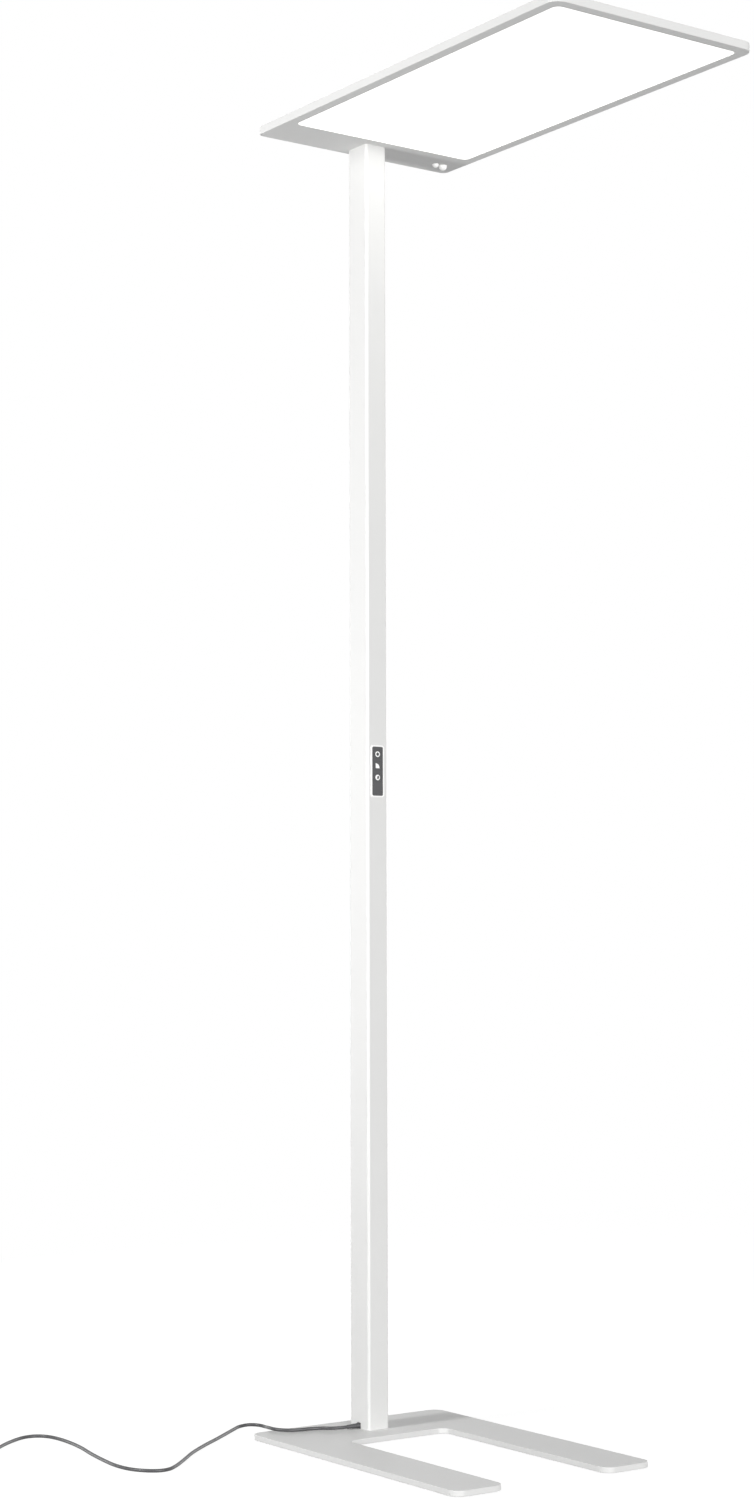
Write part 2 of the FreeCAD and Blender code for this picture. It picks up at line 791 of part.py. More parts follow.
def head_frame():
    body = head_outline(0.0, head_bottom, total_height)
    body = body.makeFillet(head_rim, edges_at_height(body, head_bottom) + edges_at_height(body, total_height))
    body = body.cut(head_outline(frame_wall, cover_bottom, total_height + 1))
    inset = frame_wall + frame_ledge
    cavity = head_outline(inset, stack_floor, cover_bottom + 1)
    band = block(-head_width, head_width, panel_rear, head_rear + 1, stack_floor - 1, band_top)
    divider = block(-inner_half + led_board_thickness + led_height + side_play,
                    inner_half - led_board_thickness - led_height - side_play,
                    panel_rear, panel_rear + divider_wall, stack_floor - 1, cover_bottom)
    bosses = []
    for spot in cover_screw_spots():
        half = boss_size / 2
        outwards = math.copysign(1.0, spot.y)
        low_y, high_y = sorted((spot.y - outwards * half, spot.y + outwards * (half + 1.0)))
        bosses.append(block(spot.x - half, spot.x + half, low_y, high_y, stack_floor - 1, cover_bottom))
    posts = [Part.makeCylinder(sensor_post_radius, sensor_board_gap + 1, Vector(spot.x, spot.y, band_top - 1))
             for spot in sensor_post_spots()]
    body = body.cut(cavity.cut(band.fuse([divider] + bosses + posts)))
    window = rounded_block(-window_half, window_half, window_front, window_rear, head_bottom - 1,
                           stack_floor + 1, window_corner)
    body = body.cut(window)
    neck = rounded_block(-bore_x, bore_x, -bore_y, bore_y, head_bottom - 1, band_top + 1,
                         post_corner - post_wall)
    body = body.cut(neck)
    body = body.cut(Part.makeCylinder(motion_radius + side_play, band_floor + 2,
                                      Vector(motion_x, sensor_y, head_bottom - 1)))
    body = body.cut(Part.makeCylinder(daylight_radius + side_play, band_floor + 2,
                                      Vector(daylight_x, sensor_y, head_bottom - 1)))
    for spot in cover_screw_spots():
        body = body.cut(rod(small_screw_radius + thread_play, spot,
                            spot - Vector(0, 0, cover_screw_length + thread_play)))
    for spot in fitting_screw_spots():
        body = body.cut(rod(side_screw_radius + thread_play, spot,
                            spot - Vector(0, 0, fitting_screw_length + thread_play)))
    for spot in sensor_post_spots():
        body = body.cut(rod(board_screw_radius + thread_play, spot,
                            spot - Vector(0, 0, board_screw_length + thread_play)))
    return body


def head_cover():
    body = head_outline(frame_wall + side_play, cover_bottom, total_height)
    for spot in cover_screw_spots():
        body = body.cut(screw(spot, (0, 0, -1), small_screw_radius, cover_screw_length, thread_play))
    return body


def cover_screws():
    return group([socket_screw(spot, (0, 0, -1), small_screw_radius, cover_screw_length)
                  for spot in cover_screw_spots()])


def diffuser():
    low = head_bottom + diffuser_recess
    face = rounded_block(-window_half + side_play, window_half - side_play, window_front + side_play,
                         window_rear - side_play, low, stack_floor, window_corner - side_play)
    lap = diffuser_lap
    flange = rounded_block(-window_half - lap, window_half + lap, window_front - lap, window_rear + lap,
                           stack_floor, guide_bottom, window_corner)
    return face.fuse(flange).removeSplitter()


def light_guide():
    return block(-guide_half, guide_half, guide_front, guide_rear, guide_bottom, guide_top)


def mirror_sheet():
    return block(-guide_half, guide_half, guide_front, guide_rear, guide_top, strips_bottom)


def led_board(side):
    # one printed strip on edge against the side wall, with its lamps facing the light guide
    board_x0 = inner_half - led_board_thickness
    board_y0 = inner_front + head_front_corner
    board_y1 = panel_rear + led_tail
    board = block(board_x0, inner_half, board_y0, board_y1, stack_floor, stack_floor + led_board_height)
    board = board.cut(block(board_x0 - 1, inner_half + 1, panel_rear - side_play, board_y1 + 1,
                            stack_floor - 1, band_top))
    pitch = (guide_rear - board_y0) / led_count
    middle = (guide_bottom + guide_top) / 2
    lamps = []
    for i in range(led_count):
        y = board_y0 + (i + 0.5) * pitch
        lamps.append(block(led_face, board_x0, y - led_length / 2, y + led_length / 2,
                           middle - led_width / 2, middle + led_width / 2))
    body = board.fuse(lamps)
    if side < 0:
        body = body.mirror(Vector(0, 0, 0), Vector(1, 0, 0))
    return body


def press_strips():
    half = window_half
    first = guide_front + strip_margin
    step = (guide_rear - strip_margin - strip_width - first) / (strip_count - 1)
    return group([block(-half, half, first + i * step, first + i * step + strip_width,
                        strips_bottom, cover_bottom) for i in range(strip_count)])


def post_fitting():
    # flange inside the head, neck down into the post, one bore for the lead
    flange = rounded_block(-fitting_width / 2, fitting_width / 2, -fitting_depth / 2, fitting_depth / 2,
                           band_top, band_top + fitting_thickness, fitting_corner)
    neck = rounded_block(-bore_x + side_play, bore_x - side_play, -bore_y + side_play,
                         bore_y - side_play, head_bottom - fitting_length, band_top,
                         post_corner - post_wall)
    body = flange.fuse(neck).removeSplitter()
    body = body.cut(rod(fitting_bore / 2, Vector(head_lead_x, driver_y, head_bottom - fitting_length - 1),
                        Vector(head_lead_x, driver_y, total_height)))
    body = body.cut(block(-fitting_width, head_lead_x, driver_y - 4.0, driver_y + 4.0,
                          head_bottom - lead_bend - 2.0, total_height))
    for spot in fitting_screw_spots():
        body = body.cut(screw(spot, (0, 0, -1), side_screw_radius, fitting_screw_length, thread_play))
    for height in side_screws_head:
        body = body.cut(screw(Vector(0, post_back, height), (0, -1, 0), side_screw_radius,
                              side_screw_length, thread_play))
    return body


def fitting_screws():
    return group([socket_screw(spot, (0, 0, -1), side_screw_radius, fitting_screw_length)
                  for spot in fitting_screw_spots()])


def junction_board():
    return block(junction_right - junction_length, junction_right, driver_y - junction_depth / 2,
                 driver_y + junction_depth / 2, band_top, band_top + board_thickness)


def junction_socket():
    half = junction_socket_depth / 2
    return block(junction_right - junction_socket_length, junction_right, driver_y - half,
                 driver_y + half, band_top + board_thickness, cover_bottom - side_play)


def strip_leads():
    # from the junction board to the two light strips and to the sensor board
    radius = thin_lead_diameter / 2
    low = band_top + radius + thread_play
    board_level = band_top + sensor_board_gap + board_thickness / 2
    left_x = junction_right - junction_length
    front_y = driver_y - junction_depth / 2
    strip_x = inner_half - led_board_thickness - radius
    strip_y = panel_rear + led_tail - lead_end
    first_y = panel_rear + divider_wall + radius + side_play
    second_y = first_y + lead_spacing
    first_x = left_x + lead_step
    second_x = first_x + lead_step
    sensor_x = sensor_board_x0 - lead_step
    routes = [
        [Vector(left_x, driver_y, low), Vector(-strip_x, driver_y, low), Vector(-strip_x, strip_y, low)],
        [Vector(first_x, front_y, low), Vector(first_x, first_y, low),
         Vector(strip_x - lead_run, first_y, low), Vector(strip_x, first_y + lead_step, low),
         Vector(strip_x, first_y + lead_run, low)],
        [Vector(second_x, front_y, low), Vector(second_x, second_y, low),
         Vector(sensor_x - lead_run, second_y, low), Vector(sensor_x, sensor_y - lead_run, low),
         Vector(sensor_x, sensor_y, board_level), Vector(sensor_board_x0, sensor_y, board_level)],
    ]
    return group([tube(bent_path(route, thin_lead_bend)[0], radius) for route in routes])


def sensor_board():
    body = block(sensor_board_x0, sensor_board_x1, sensor_y - sensor_board_depth / 2,
                 sensor_y + sensor_board_depth / 2, band_top + sensor_board_gap,
                 band_top + sensor_board_gap + board_thickness)
    for spot in sensor_post_spots():
        body = body.cut(rod(board_screw_radius + thread_play, spot + Vector(0, 0, 1),
                            spot - Vector(0, 0, board_screw_length)))
    return body


def sensor_screws():
    return group([pan_screw(spot, (0, 0, -1), board_screw_radius, board_screw_length)
                  for spot in sensor_post_spots()])


def dome(x, radius, reach):
    # hollow lens: round nose, straight sleeve through the floor, flange inside
    nose_z = head_bottom - reach + radius
    outer = Part.makeSphere(radius, Vector(x, sensor_y, nose_z))
    outer = outer.fuse(Part.makeCylinder(radius, band_top - nose_z, Vector(x, sensor_y, nose_z)))
    outer = outer.fuse(Part.makeCylinder(radius + dome_flange_width, dome_flange,
                                         Vector(x, sensor_y, band_top)))
    inner_radius = radius - dome_wall
    inner = Part.makeSphere(inner_radius, Vector(x, sensor_y, nose_z))
    inner = inner.fuse(Part.makeCylinder(inner_radius, band_top + dome_flange + 1 - nose_z,
                                         Vector(x, sensor_y, nose_z)))
    return outer.cut(inner).removeSplitter()


def motion_can():
    top = band_top + sensor_board_gap
    return Part.makeCylinder(motion_can_radius, motion_can_height,
                             Vector(motion_x, sensor_y, top - motion_can_height))


def daylight_cell():
    half = daylight_chip / 2
    top = band_top + sensor_board_gap
    return block(daylight_x - half, daylight_x + half, sensor_y - half, sensor_y + half,
                 top - daylight_chip_height, top)


def biarc(start, start_heading, end, end_heading):
    # two tangent arcs between two points with given headings
    chord = end.sub(start)
    total = start_heading + end_heading
    spread = 2 * (1 - start_heading.dot(end_heading))
    if spread < 1e-9:
        leg = chord.dot(chord) / (4 * chord.dot(end_heading))
    else:
        along = chord.dot(total)
        leg = (-along + math.sqrt(along * along + spread * chord.dot(chord))) / spread
    first = start + start_heading * leg
    second = end - end_heading * leg
    joint = (first + second) * 0.5
    edges = []
    for a, corner, b in ((start, first, joint), (joint, second, end)):
        arriving = corner.sub(a)
        leaving = b.sub(corner)
        half_turn = arriving.getAngle(leaving) / 2
        if half_turn < 1e-7:
            edges.append(Part.LineSegment(a, b).toShape())
            continue
        bend = leg / math.tan(half_turn)
        inward = (a + b) * 0.5 - corner
        inward.normalize()
        middle = corner + inward * (bend / math.cos(half_turn) - bend)
        edges.append(Part.Arc(a, middle, b).toShape())
    return edges


class Coil:
    # flat spiral inwards on the floor, one layer up at the reversal, and outwards again on top
    def __init__(self, start, heading):
        self.turn = 2 * math.pi * coil_turns
        self.rate = coil_pitch / (2 * math.pi)
        self.outer = coil_mean_radius + self.rate * self.turn / 4
        self.low = start.z
        slope = self.rate / self.outer
        across = Vector(heading.y, -heading.x, 0)
        towards = across + heading * slope
        towards.normalize()
        self.centre = start + towards * self.outer
        self.phase = math.atan2(-towards.y, -towards.x)

    def at(self, angle):
        # point and heading after a given angle; the coil turns clockwise seen from above
        middle = self.turn / 2
        half = math.pi / 2
        offset = angle - middle
        if abs(offset) < half:
            radius = self.outer - self.rate * middle + self.rate * (offset * offset / (2 * half) + half / 2)
            growth = self.rate * offset / half
            share = (offset + half) / (2 * half)
            rise = coil_layer * (share - math.sin(2 * math.pi * share) / (2 * math.pi))
            climb = coil_layer * (1 - math.cos(2 * math.pi * share)) / (2 * half)
        else:
            radius = self.outer - self.rate * middle + self.rate * abs(offset)
            growth = math.copysign(self.rate, offset)
            rise = 0.0 if offset < 0 else coil_layer
            climb = 0.0
        bearing = self.phase - angle
        cosine = math.cos(bearing)
        sine = math.sin(bearing)
        point = Vector(self.centre.x + radius * cosine, self.centre.y + radius * sine, self.low + rise)
        heading = Vector(growth * cosine + radius * sine, growth * sine - radius * cosine, climb)
        heading.normalize()
        return point, heading


def coil_entry():
    # where the coil's first turn begins, one diameter past the end of the route
    last = Vector(*cord_route[-1])
    heading = last.sub(Vector(*cord_route[-2]))
    heading.normalize()
    return last + heading * cord_diameter, heading


def coil_path():
    # lead-in, quarter turns as biarcs, an easy fall to the plug's level and a straight end
    last = Vector(*cord_route[-1])
    coil_start, heading = coil_entry()
    coil = Coil(coil_start, heading)
    quarters = int(round(coil_turns * 4))
    step = coil.turn / quarters
    edges = [Part.LineSegment(last, coil_start).toShape()]
    point, direction = coil.at(0.0)
    for i in range(quarters):
        next_point, next_direction = coil.at((i + 1) * step)
        edges += biarc(point, direction, next_point, next_direction)
        point, direction = next_point, next_direction
    level = plug_thickness / 2
    landing = Vector(point.x + direction.x * coil_tail, point.y + direction.y * coil_tail, level)
    edges += biarc(point, direction, landing, direction)
    end = landing + direction * cord_diameter
    edges.append(Part.LineSegment(landing, end).toShape())
    return Part.Wire(edges), end, direction


def least_gap(path, diameter):
    # least distance between the tube's own turns, measured on points along its middle line
    count = int(path.Length / 2.0)
    points = path.discretize(Number=count)
    step = path.Length / (count - 1)
    skip = int(3 * diameter / step)
    nearest = min(points[i].distanceToPoint(points[j])
                  for i in range(0, count, 2) for j in range(i + skip, count))
    return nearest - diameter


def cord_tie(path):
    # one flat band round both layers of the coil, a play's width clear of them
    coil = Coil(*coil_entry())
    outwards, along = coil.at(tie_turn * 2 * math.pi)
    outwards = Vector(outwards.x - coil.centre.x, outwards.y - coil.centre.y, 0)
    outwards.normalize()
    along = Vector(-outwards.y, outwards.x, 0)
    near = []
    for point in path.discretize(Number=1500):
        offset = point - Vector(coil.centre.x, coil.centre.y, 0)
        if offset.dot(outwards) > 0 and abs(offset.dot(along)) < tie_width / 2 + cord_radius / 2:
            near.append((offset.dot(outwards), point.z))
    clear = cord_radius + side_play
    x0, x1 = (min(x for x, _ in near) - clear, max(x for x, _ in near) + clear)
    z0, z1 = (min(z for _, z in near) - clear, max(z for _, z in near) + clear)
    half = tie_width / 2
    thick = tie_thickness
    outer = rounded_block(x0 - thick, x1 + thick, -half, half, z0 - thick, z1 + thick,
                          tie_corner + thick, 1)
    band = outer.cut(rounded_block(x0, x1, -half - 1, half + 1, z0, z1, tie_corner, 1))
    angle = math.degrees(math.atan2(outwards.y, outwards.x))
    band.Placement = FreeCAD.Placement(Vector(coil.centre.x, coil.centre.y, 0),
                                       FreeCAD.Rotation(Vector(0, 0, 1), angle))
    return band


def plug_frame(end, heading):
    # places a shape that is drawn along +X from the origin onto the cord's end
    angle = math.degrees(math.atan2(heading.y, heading.x))
    return FreeCAD.Placement(end, FreeCAD.Rotation(Vector(0, 0, 1), angle))


def plug_relief():
    return Part.makeCone(plug_neck_radius, plug_root_radius, plug_relief_length,
                         Vector(0, 0, 0), Vector(1, 0, 0))


def plug_body():
    # flat two-pin plug: a waisted grip that widens to the pin face
    x0 = plug_relief_length
    x1 = x0 + plug_length
    half = plug_width / 2
    thick = plug_thickness / 2
    grip = plug_grip_share * half
    outline = [Vector(x0, -grip, -thick), Vector(x0 + 0.35 * plug_length, -grip, -thick),
               Vector(x0 + 0.6 * plug_length, -half, -thick), Vector(x1, -half, -thick),
               Vector(x1, half, -thick), Vector(x0 + 0.6 * plug_length, half, -thick),
               Vector(x0 + 0.35 * plug_length, grip, -thick), Vector(x0, grip, -thick)]
    face = Part.Face(Part.makePolygon(outline + outline[:1]))
    body = face.extrude(Vector(0, 0, plug_thickness))
    upright = [e for e in body.Edges if abs(e.tangentAt(e.FirstParameter).z) > 0.9
               and e.Vertexes[0].X < x1 - 1]
    body = body.makeFillet(min(plug_corner, 0.2 * plug_length), upright)
    rims = [e for e in body.Edges if all(abs(abs(v.Z) - thick) < 1e-6 for v in e.Vertexes)]
    return body.makeFillet(plug_rim, rims)


def plug_pins():
    x1 = plug_relief_length + plug_length
    pins = []
    for side in (-1, 1):
        y = side * pin_spacing / 2
        pin = Part.makeCylinder(pin_radius, pin_length, Vector(x1, y, 0), Vector(1, 0, 0))
        tip = [e for e in pin.Edges if all(abs(v.X - x1 - pin_length) < 1e-6 for v in e.Vertexes)]
        pins.append(pin.makeFillet(pin_rim, tip))
    return group(pins)


def build():
    os.makedirs("parts", exist_ok=True)

    write("floor_plate", floor_plate())
    write("floor_pads", floor_pads())
    write("foot_bolts", foot_bolts())
    write("foot_block", foot_block())
    write("foot_side_screws", side_screws(side_screws_foot))
    write("post", post())

    write("cord_saddle", cord_saddle())
    write("saddle_screws", group(saddle_screw_shapes()))
    write("mains_tail", mains_tail())
    write("driver_carrier", driver_carrier())
    write("carrier_screw", carrier_screw_shape(shape=socket_screw))
    write("driver_case", driver_case())
    write("driver_lid", driver_lid())
    write("driver_board", driver_board())
    write("driver_components", driver_components())
    write("driver_screws", driver_screws())
    write("mains_terminal", terminal(terminal_bottom))
    write("output_terminal", terminal(driver_top))
    write("head_lead", head_lead())
    write("control_lead", control_lead())

    write("control_bezel", control_bezel())
    write("control_faceplate", control_faceplate())
    for name, height in zip(("power", "dimmer", "sensor"), key_heights):
        write(name + "_key", key_cap(height))
        write(name + "_plunger", key_plunger(height))
    write("switch_housings", switch_housings())
    write("control_board", control_board())
    write("control_board_screws", control_screws())
    write("control_socket", control_socket())

    write("head_frame", head_frame())
    write("head_cover", head_cover())
    write("cover_screws", cover_screws())
    write("diffuser", diffuser())
    write("light_guide", light_guide())
    write("mirror_sheet", mirror_sheet())
    write("led_board_left", led_board(-1))
    write("led_board_right", led_board(1))
    write("press_strips", press_strips())
    write("post_fitting", post_fitting())
    write("fitting_screws", fitting_screws())
    write("head_side_screws", side_screws(side_screws_head))
    write("junction_board", junction_board())
    write("junction_socket", junction_socket())
    write("strip_leads", strip_leads())
    write("sensor_board", sensor_board())
    write("sensor_board_screws", sensor_screws())
    write("motion_lens", dome(motion_x, motion_radius, motion_reach))
    write("motion_detector", motion_can())
    write("daylight_lens", dome(daylight_x, daylight_radius, daylight_reach))
    write("daylight_cell", daylight_cell())

    write("cord_relief", cord_relief())
    path, radii = bent_path([Vector(*point) for point in cord_route])
    cord = tube(path, cord_radius)
    write("mains_cord", cord)
    print("cord bend radii", [round(r, 1) for r in radii])
    section = math.pi * cord_radius ** 2
    print("free cord length %.1f, volume %.0f, section x length %.0f"
          % (path.Length, cord.Volume, section * path.Length))
    spiral, end, heading = coil_path()
    coil = tube(spiral, cord_radius)
    write("mains_cord_coil", coil)
    print("coil length %.1f, volume %.0f, section x length %.0f, least gap %.2f"
          % (spiral.Length, coil.Volume, section * spiral.Length, least_gap(spiral, cord_diameter)))
    write("cord_tie", cord_tie(spiral))
    place = plug_frame(end, heading)
    for name, shape in (("plug_relief", plug_relief()), ("plug_body", plug_body()),
                        ("plug_pins", plug_pins())):
        shape.Placement = place.multiply(shape.Placement)
        write(name, shape)


build()
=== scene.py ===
import json
import math
import bpy
import numpy as np
from mathutils import Matrix, Vector


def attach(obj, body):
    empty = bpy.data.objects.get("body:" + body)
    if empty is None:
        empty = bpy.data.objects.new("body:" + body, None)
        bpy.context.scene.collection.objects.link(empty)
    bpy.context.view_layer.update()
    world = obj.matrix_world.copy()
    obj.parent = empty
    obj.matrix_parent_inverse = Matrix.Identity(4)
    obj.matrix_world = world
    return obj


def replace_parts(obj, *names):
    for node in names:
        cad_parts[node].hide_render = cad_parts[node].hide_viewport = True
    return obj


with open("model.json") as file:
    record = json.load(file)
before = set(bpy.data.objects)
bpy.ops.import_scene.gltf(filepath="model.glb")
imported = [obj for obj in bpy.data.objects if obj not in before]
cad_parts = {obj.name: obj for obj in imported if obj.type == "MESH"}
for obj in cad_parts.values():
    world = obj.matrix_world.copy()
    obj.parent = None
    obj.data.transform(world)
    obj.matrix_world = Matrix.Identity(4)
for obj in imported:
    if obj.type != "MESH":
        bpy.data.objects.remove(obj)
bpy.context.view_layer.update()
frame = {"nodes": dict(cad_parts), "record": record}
nodes = frame["nodes"]
mmPerMetre = 1000
print("frame loaded:", len(nodes), "nodes")


def addObject(name, data):
    thing = bpy.data.objects.new(name, data)
    bpy.context.scene.collection.objects.link(thing)
    return thing


# camera, as the photograph was taken: place in metres, angles in degrees

viewpoint = {"place": (-2.2805, -2.9257, 0.73925), "yaw": -35.421, "pitch": 3.994, "roll": -0.136,
             "lens": 63.07, "filmSide": 36.0, "farthest": 60}


def makeCamera():
    # yaw and pitch give the three axes, roll turns two of them, and a camera looks down its own -z
    yaw, pitch, roll = (math.radians(viewpoint[name]) for name in ("yaw", "pitch", "roll"))
    ahead = Vector((-math.sin(yaw) * math.cos(pitch), math.cos(yaw) * math.cos(pitch), math.sin(pitch)))
    level = Vector((math.cos(yaw), math.sin(yaw), 0))
    upright = level.cross(ahead)
    right = level * math.cos(roll) + upright * math.sin(roll)
    up = upright * math.cos(roll) - level * math.sin(roll)
    data = bpy.data.cameras.new("photoCamera")
    data.lens = viewpoint["lens"]
    data.sensor_width = viewpoint["filmSide"]
    data.clip_end = viewpoint["farthest"]
    camera = addObject("photoCamera", data)
    turn = Matrix((right, up, -ahead)).transposed().to_4x4()
    camera.matrix_world = Matrix.Translation(viewpoint["place"]) @ turn
    bpy.context.scene.camera = camera


makeCamera()
print("camera set")


# materials: one small function per job, then one entry per real finish

def linear(hexColour):
    # sRGB hex to the linear values that shaders read
    values = [int(hexColour[i:i + 2], 16) / 255 for i in (1, 3, 5)]
    return tuple(v / 12.92 if v <= 0.04045 else ((v + 0.055) / 1.055) ** 2.4 for v in values) + (1.0,)


def addNode(tree, kind, values=None, links=None, **settings):
    # one node with its settings, its socket values by name or number, and what feeds its sockets
    node = tree.nodes.new(kind)
    for name, value in settings.items():
        setattr(node, name, value)
    for name, value in (values or {}).items():
        node.inputs[name].default_value = value
    for name, source in (links or {}).items():
        tree.links.new(source, node.inputs[name])
    return node


def emptyTree(owner):
    # the node tree of a material or world, with nothing in it
    owner.use_nodes = True
    owner.node_tree.nodes.clear()
    return owner.node_tree


noiseSpan = (0.3, 0.7)  # nearly all values of a noise texture lie between these
blotchDetail = 3.0


def makeFinish(name, colours, blotchMm, grainMm, depthMm, roughness, even, stretch=(1, 1, 1), detail=2.0):
    # two near colours in blotches of blotchMm, roughness and bumps of depthMm in a grain of grainMm;
    # even holds the values with no pattern, by the shader's sockets, and stretch draws the grain out
    material = bpy.data.materials.new(name)
    tree = emptyTree(material)
    place = addNode(tree, "ShaderNodeTexCoord").outputs["Object"]
    blotch = addNode(tree, "ShaderNodeTexNoise", {"Scale": mmPerMetre / blotchMm, "Detail": blotchDetail},
                     {"Vector": place})
    # a mix of colours takes its share at socket 0 and its colours at 6 and 7, and gives the result at 2
    paint = addNode(tree, "ShaderNodeMix", {6: linear(colours[0]), 7: linear(colours[1])},
                    {0: blotch.outputs["Fac"]}, data_type="RGBA")
    drawn = addNode(tree, "ShaderNodeMapping", {"Scale": stretch}, {"Vector": place})
    grain = addNode(tree, "ShaderNodeTexNoise", {"Scale": mmPerMetre / grainMm, "Detail": detail},
                    {"Vector": drawn.outputs["Vector"]})
    sheen = addNode(tree, "ShaderNodeMapRange", {"From Min": noiseSpan[0], "From Max": noiseSpan[1],
                                                 "To Min": roughness[0], "To Max": roughness[1]},
                    {"Value": grain.outputs["Fac"]})
    bump = addNode(tree, "ShaderNodeBump", {"Strength": 1.0, "Distance": depthMm / mmPerMetre},
                   {"Height": grain.outputs["Fac"]})
    shader = addNode(tree, "ShaderNodeBsdfPrincipled", even,
                     {"Base Color": paint.outputs[2], "Roughness": sheen.outputs["Result"],
                      "Normal": bump.outputs["Normal"]})
    addNode(tree, "ShaderNodeOutputMaterial", links={"Surface": shader.outputs["BSDF"]})
    return material


finishes = {
    # polyester powder coat, sprayed and baked on steel and aluminium: even pale grey white, satin, with a
    # very shallow orange peel that only softens what it mirrors
    "white_powder_coat": makeFinish("satinPowderCoat", ("#D7D7D6", "#DADAD9"), 60, 2.2, 0.006,
                                    (0.36, 0.42), {"IOR": 1.5}),
    # ABS moulded with a fine matt texture: cleaner white than the paint, soft highlights
    "white_moulding": makeFinish("mattMouldedWhiteABS", ("#F7F7F6", "#FAFAF9"), 20, 0.4, 0.006,
                                 (0.38, 0.46), {"IOR": 1.53}),
    # extruded opal PMMA sheet lit from above: an even glow with a faint satin face
    "opal_diffuser": makeFinish("litOpalAcrylic", ("#F4F4F2", "#F7F7F5"), 80, 0.5, 0.003, (0.34, 0.42),
                                {"IOR": 1.49, "Emission Color": linear("#FFFFFC"),
                                 "Emission Strength": 0.85}),
    # cast PMMA light guide, flame polished: clear, its face dotted to let the light out
    "clear_acrylic": makeFinish("clearCastAcrylic", ("#F3F8F7", "#EFF6F5"), 60, 1.5, 0.02, (0.03, 0.08),
                                {"IOR": 1.49, "Transmission Weight": 0.9}),
    # silvered polyester film: near mirror with slight waves
    "mirror_film": makeFinish("silveredPolyesterFilm", ("#EDEDEC", "#F2F2F1"), 90, 12.0, 0.02, (0.04, 0.10),
                              {"Metallic": 1.0}),
    # smoked PC/ABS, polished moulding: very dark grey, sharp reflections, hair-fine wiping marks
    "black_gloss": makeFinish("polishedSmokedPolycarbonate", ("#4A4A4C", "#505052"), 15, 0.5, 0.0008,
                              (0.07, 0.13), {"IOR": 1.58}),
    # HDPE lens, moulded thin in a polished tool: clean milky white with a clear highlight, and a faint
    # emission paints light on it, a painted glow that keeps its shaded side pale though the lens is no lamp
    "sensor_lens_white": makeFinish("milkyPolyethyleneLensPaintedGlow", ("#FAFAF8", "#FDFDFB"), 6, 0.6, 0.002,
                                    (0.12, 0.18), {"IOR": 1.54, "Emission Color": linear("#FFFFFF"),
                                                   "Emission Strength": 0.15}),
    # solder mask over glass-fibre laminate: glossy green with the weave just showing through
    "green_laminate": makeFinish("greenSolderMaskLaminate", ("#1E6B3E", "#195C36"), 7, 0.5, 0.01,
                                 (0.22, 0.32), {"IOR": 1.55}),
    # white solder mask on aluminium-backed board: flat bright white
    "white_laminate": makeFinish("whiteSolderMaskLaminate", ("#F0F0EB", "#F5F5F1"), 9, 0.5, 0.008,
                                 (0.34, 0.42), {"IOR": 1.55}),
    # glass-filled nylon, spark-eroded tool: near black, fine matt grain
    "black_thermoplastic": makeFinish("grainedBlackNylon", ("#2A2A2B", "#303031"), 12, 0.35, 0.012,
                                      (0.42, 0.55), {"IOR": 1.53}, detail=4.0),
    # extruded soft PVC sheath: mid to dark grey, dull shine, faint lines along it from the die
    "grey_cord": makeFinish("extrudedGreyPVC", ("#414143", "#4A4A4C"), 9, 0.8, 0.01, (0.36, 0.48),
                            {"IOR": 1.53}),
    # extruded silicone lead: white, slightly greasy shine
    "white_lead": makeFinish("extrudedWhiteSilicone", ("#E4E4E0", "#EAEAE7"), 8, 0.7, 0.01, (0.32, 0.42),
                             {"IOR": 1.43}),
    # steel screws with bright passivated zinc: cool bluish grey, uneven shine
    "zinc_steel": makeFinish("passivatedZincOnSteel", ("#B9BDC2", "#C9CCD0"), 3, 0.5, 0.004, (0.22, 0.36),
                             {"Metallic": 1.0}),
    # zinc alloy as cast, tumbled: dull silver skin with a fine pebble
    "die_cast": makeFinish("tumbledDieCastZinc", ("#AEB0B3", "#BBBDC0"), 8, 0.9, 0.03, (0.36, 0.50),
                           {"Metallic": 1.0}, detail=4.0),
    # rolled sheet steel with zinc: faint rolling lines up the sheet
    "sheet_steel": makeFinish("rolledGalvanisedSheet", ("#B2B5B8", "#C0C3C6"), 14, 0.6, 0.006, (0.28, 0.40),
                              {"Metallic": 1.0}, stretch=(1, 1, 0.04)),
    # turned brass pins with bright nickel: warm silver, fine turning marks
    "nickel": makeFinish("turnedNickelPlatedBrass", ("#CFCBC2", "#DAD6CE"), 5, 0.3, 0.003, (0.14, 0.24),
                         {"Metallic": 1.0}),
    # pressed wool felt: charcoal, deep matt, loose fibres
    "grey_felt": makeFinish("pressedGreyFelt", ("#3C3C3D", "#4B4B4C"), 1.6, 0.5, 0.12, (0.85, 0.97),
                            {"Sheen Weight": 0.4, "Sheen Roughness": 0.5}, detail=6.0),
    # closed-cell PE foam, sliced: soft white with small open cells on the cut
    "white_foam": makeFinish("slicedClosedCellFoam", ("#E2E2DF", "#EBEBE8"), 2.5, 0.7, 0.1, (0.7, 0.85),
                             {}, detail=4.0),
}

for entry in frame["record"]["subparts"]:
    node = nodes[entry["node"]]
    for place in node.material_slots:
        place.material = finishes[entry["material_slot"]]
print("finishes on the CAD nodes:", len(finishes))


# surfaces: whole arrays of rings, closed into a skin

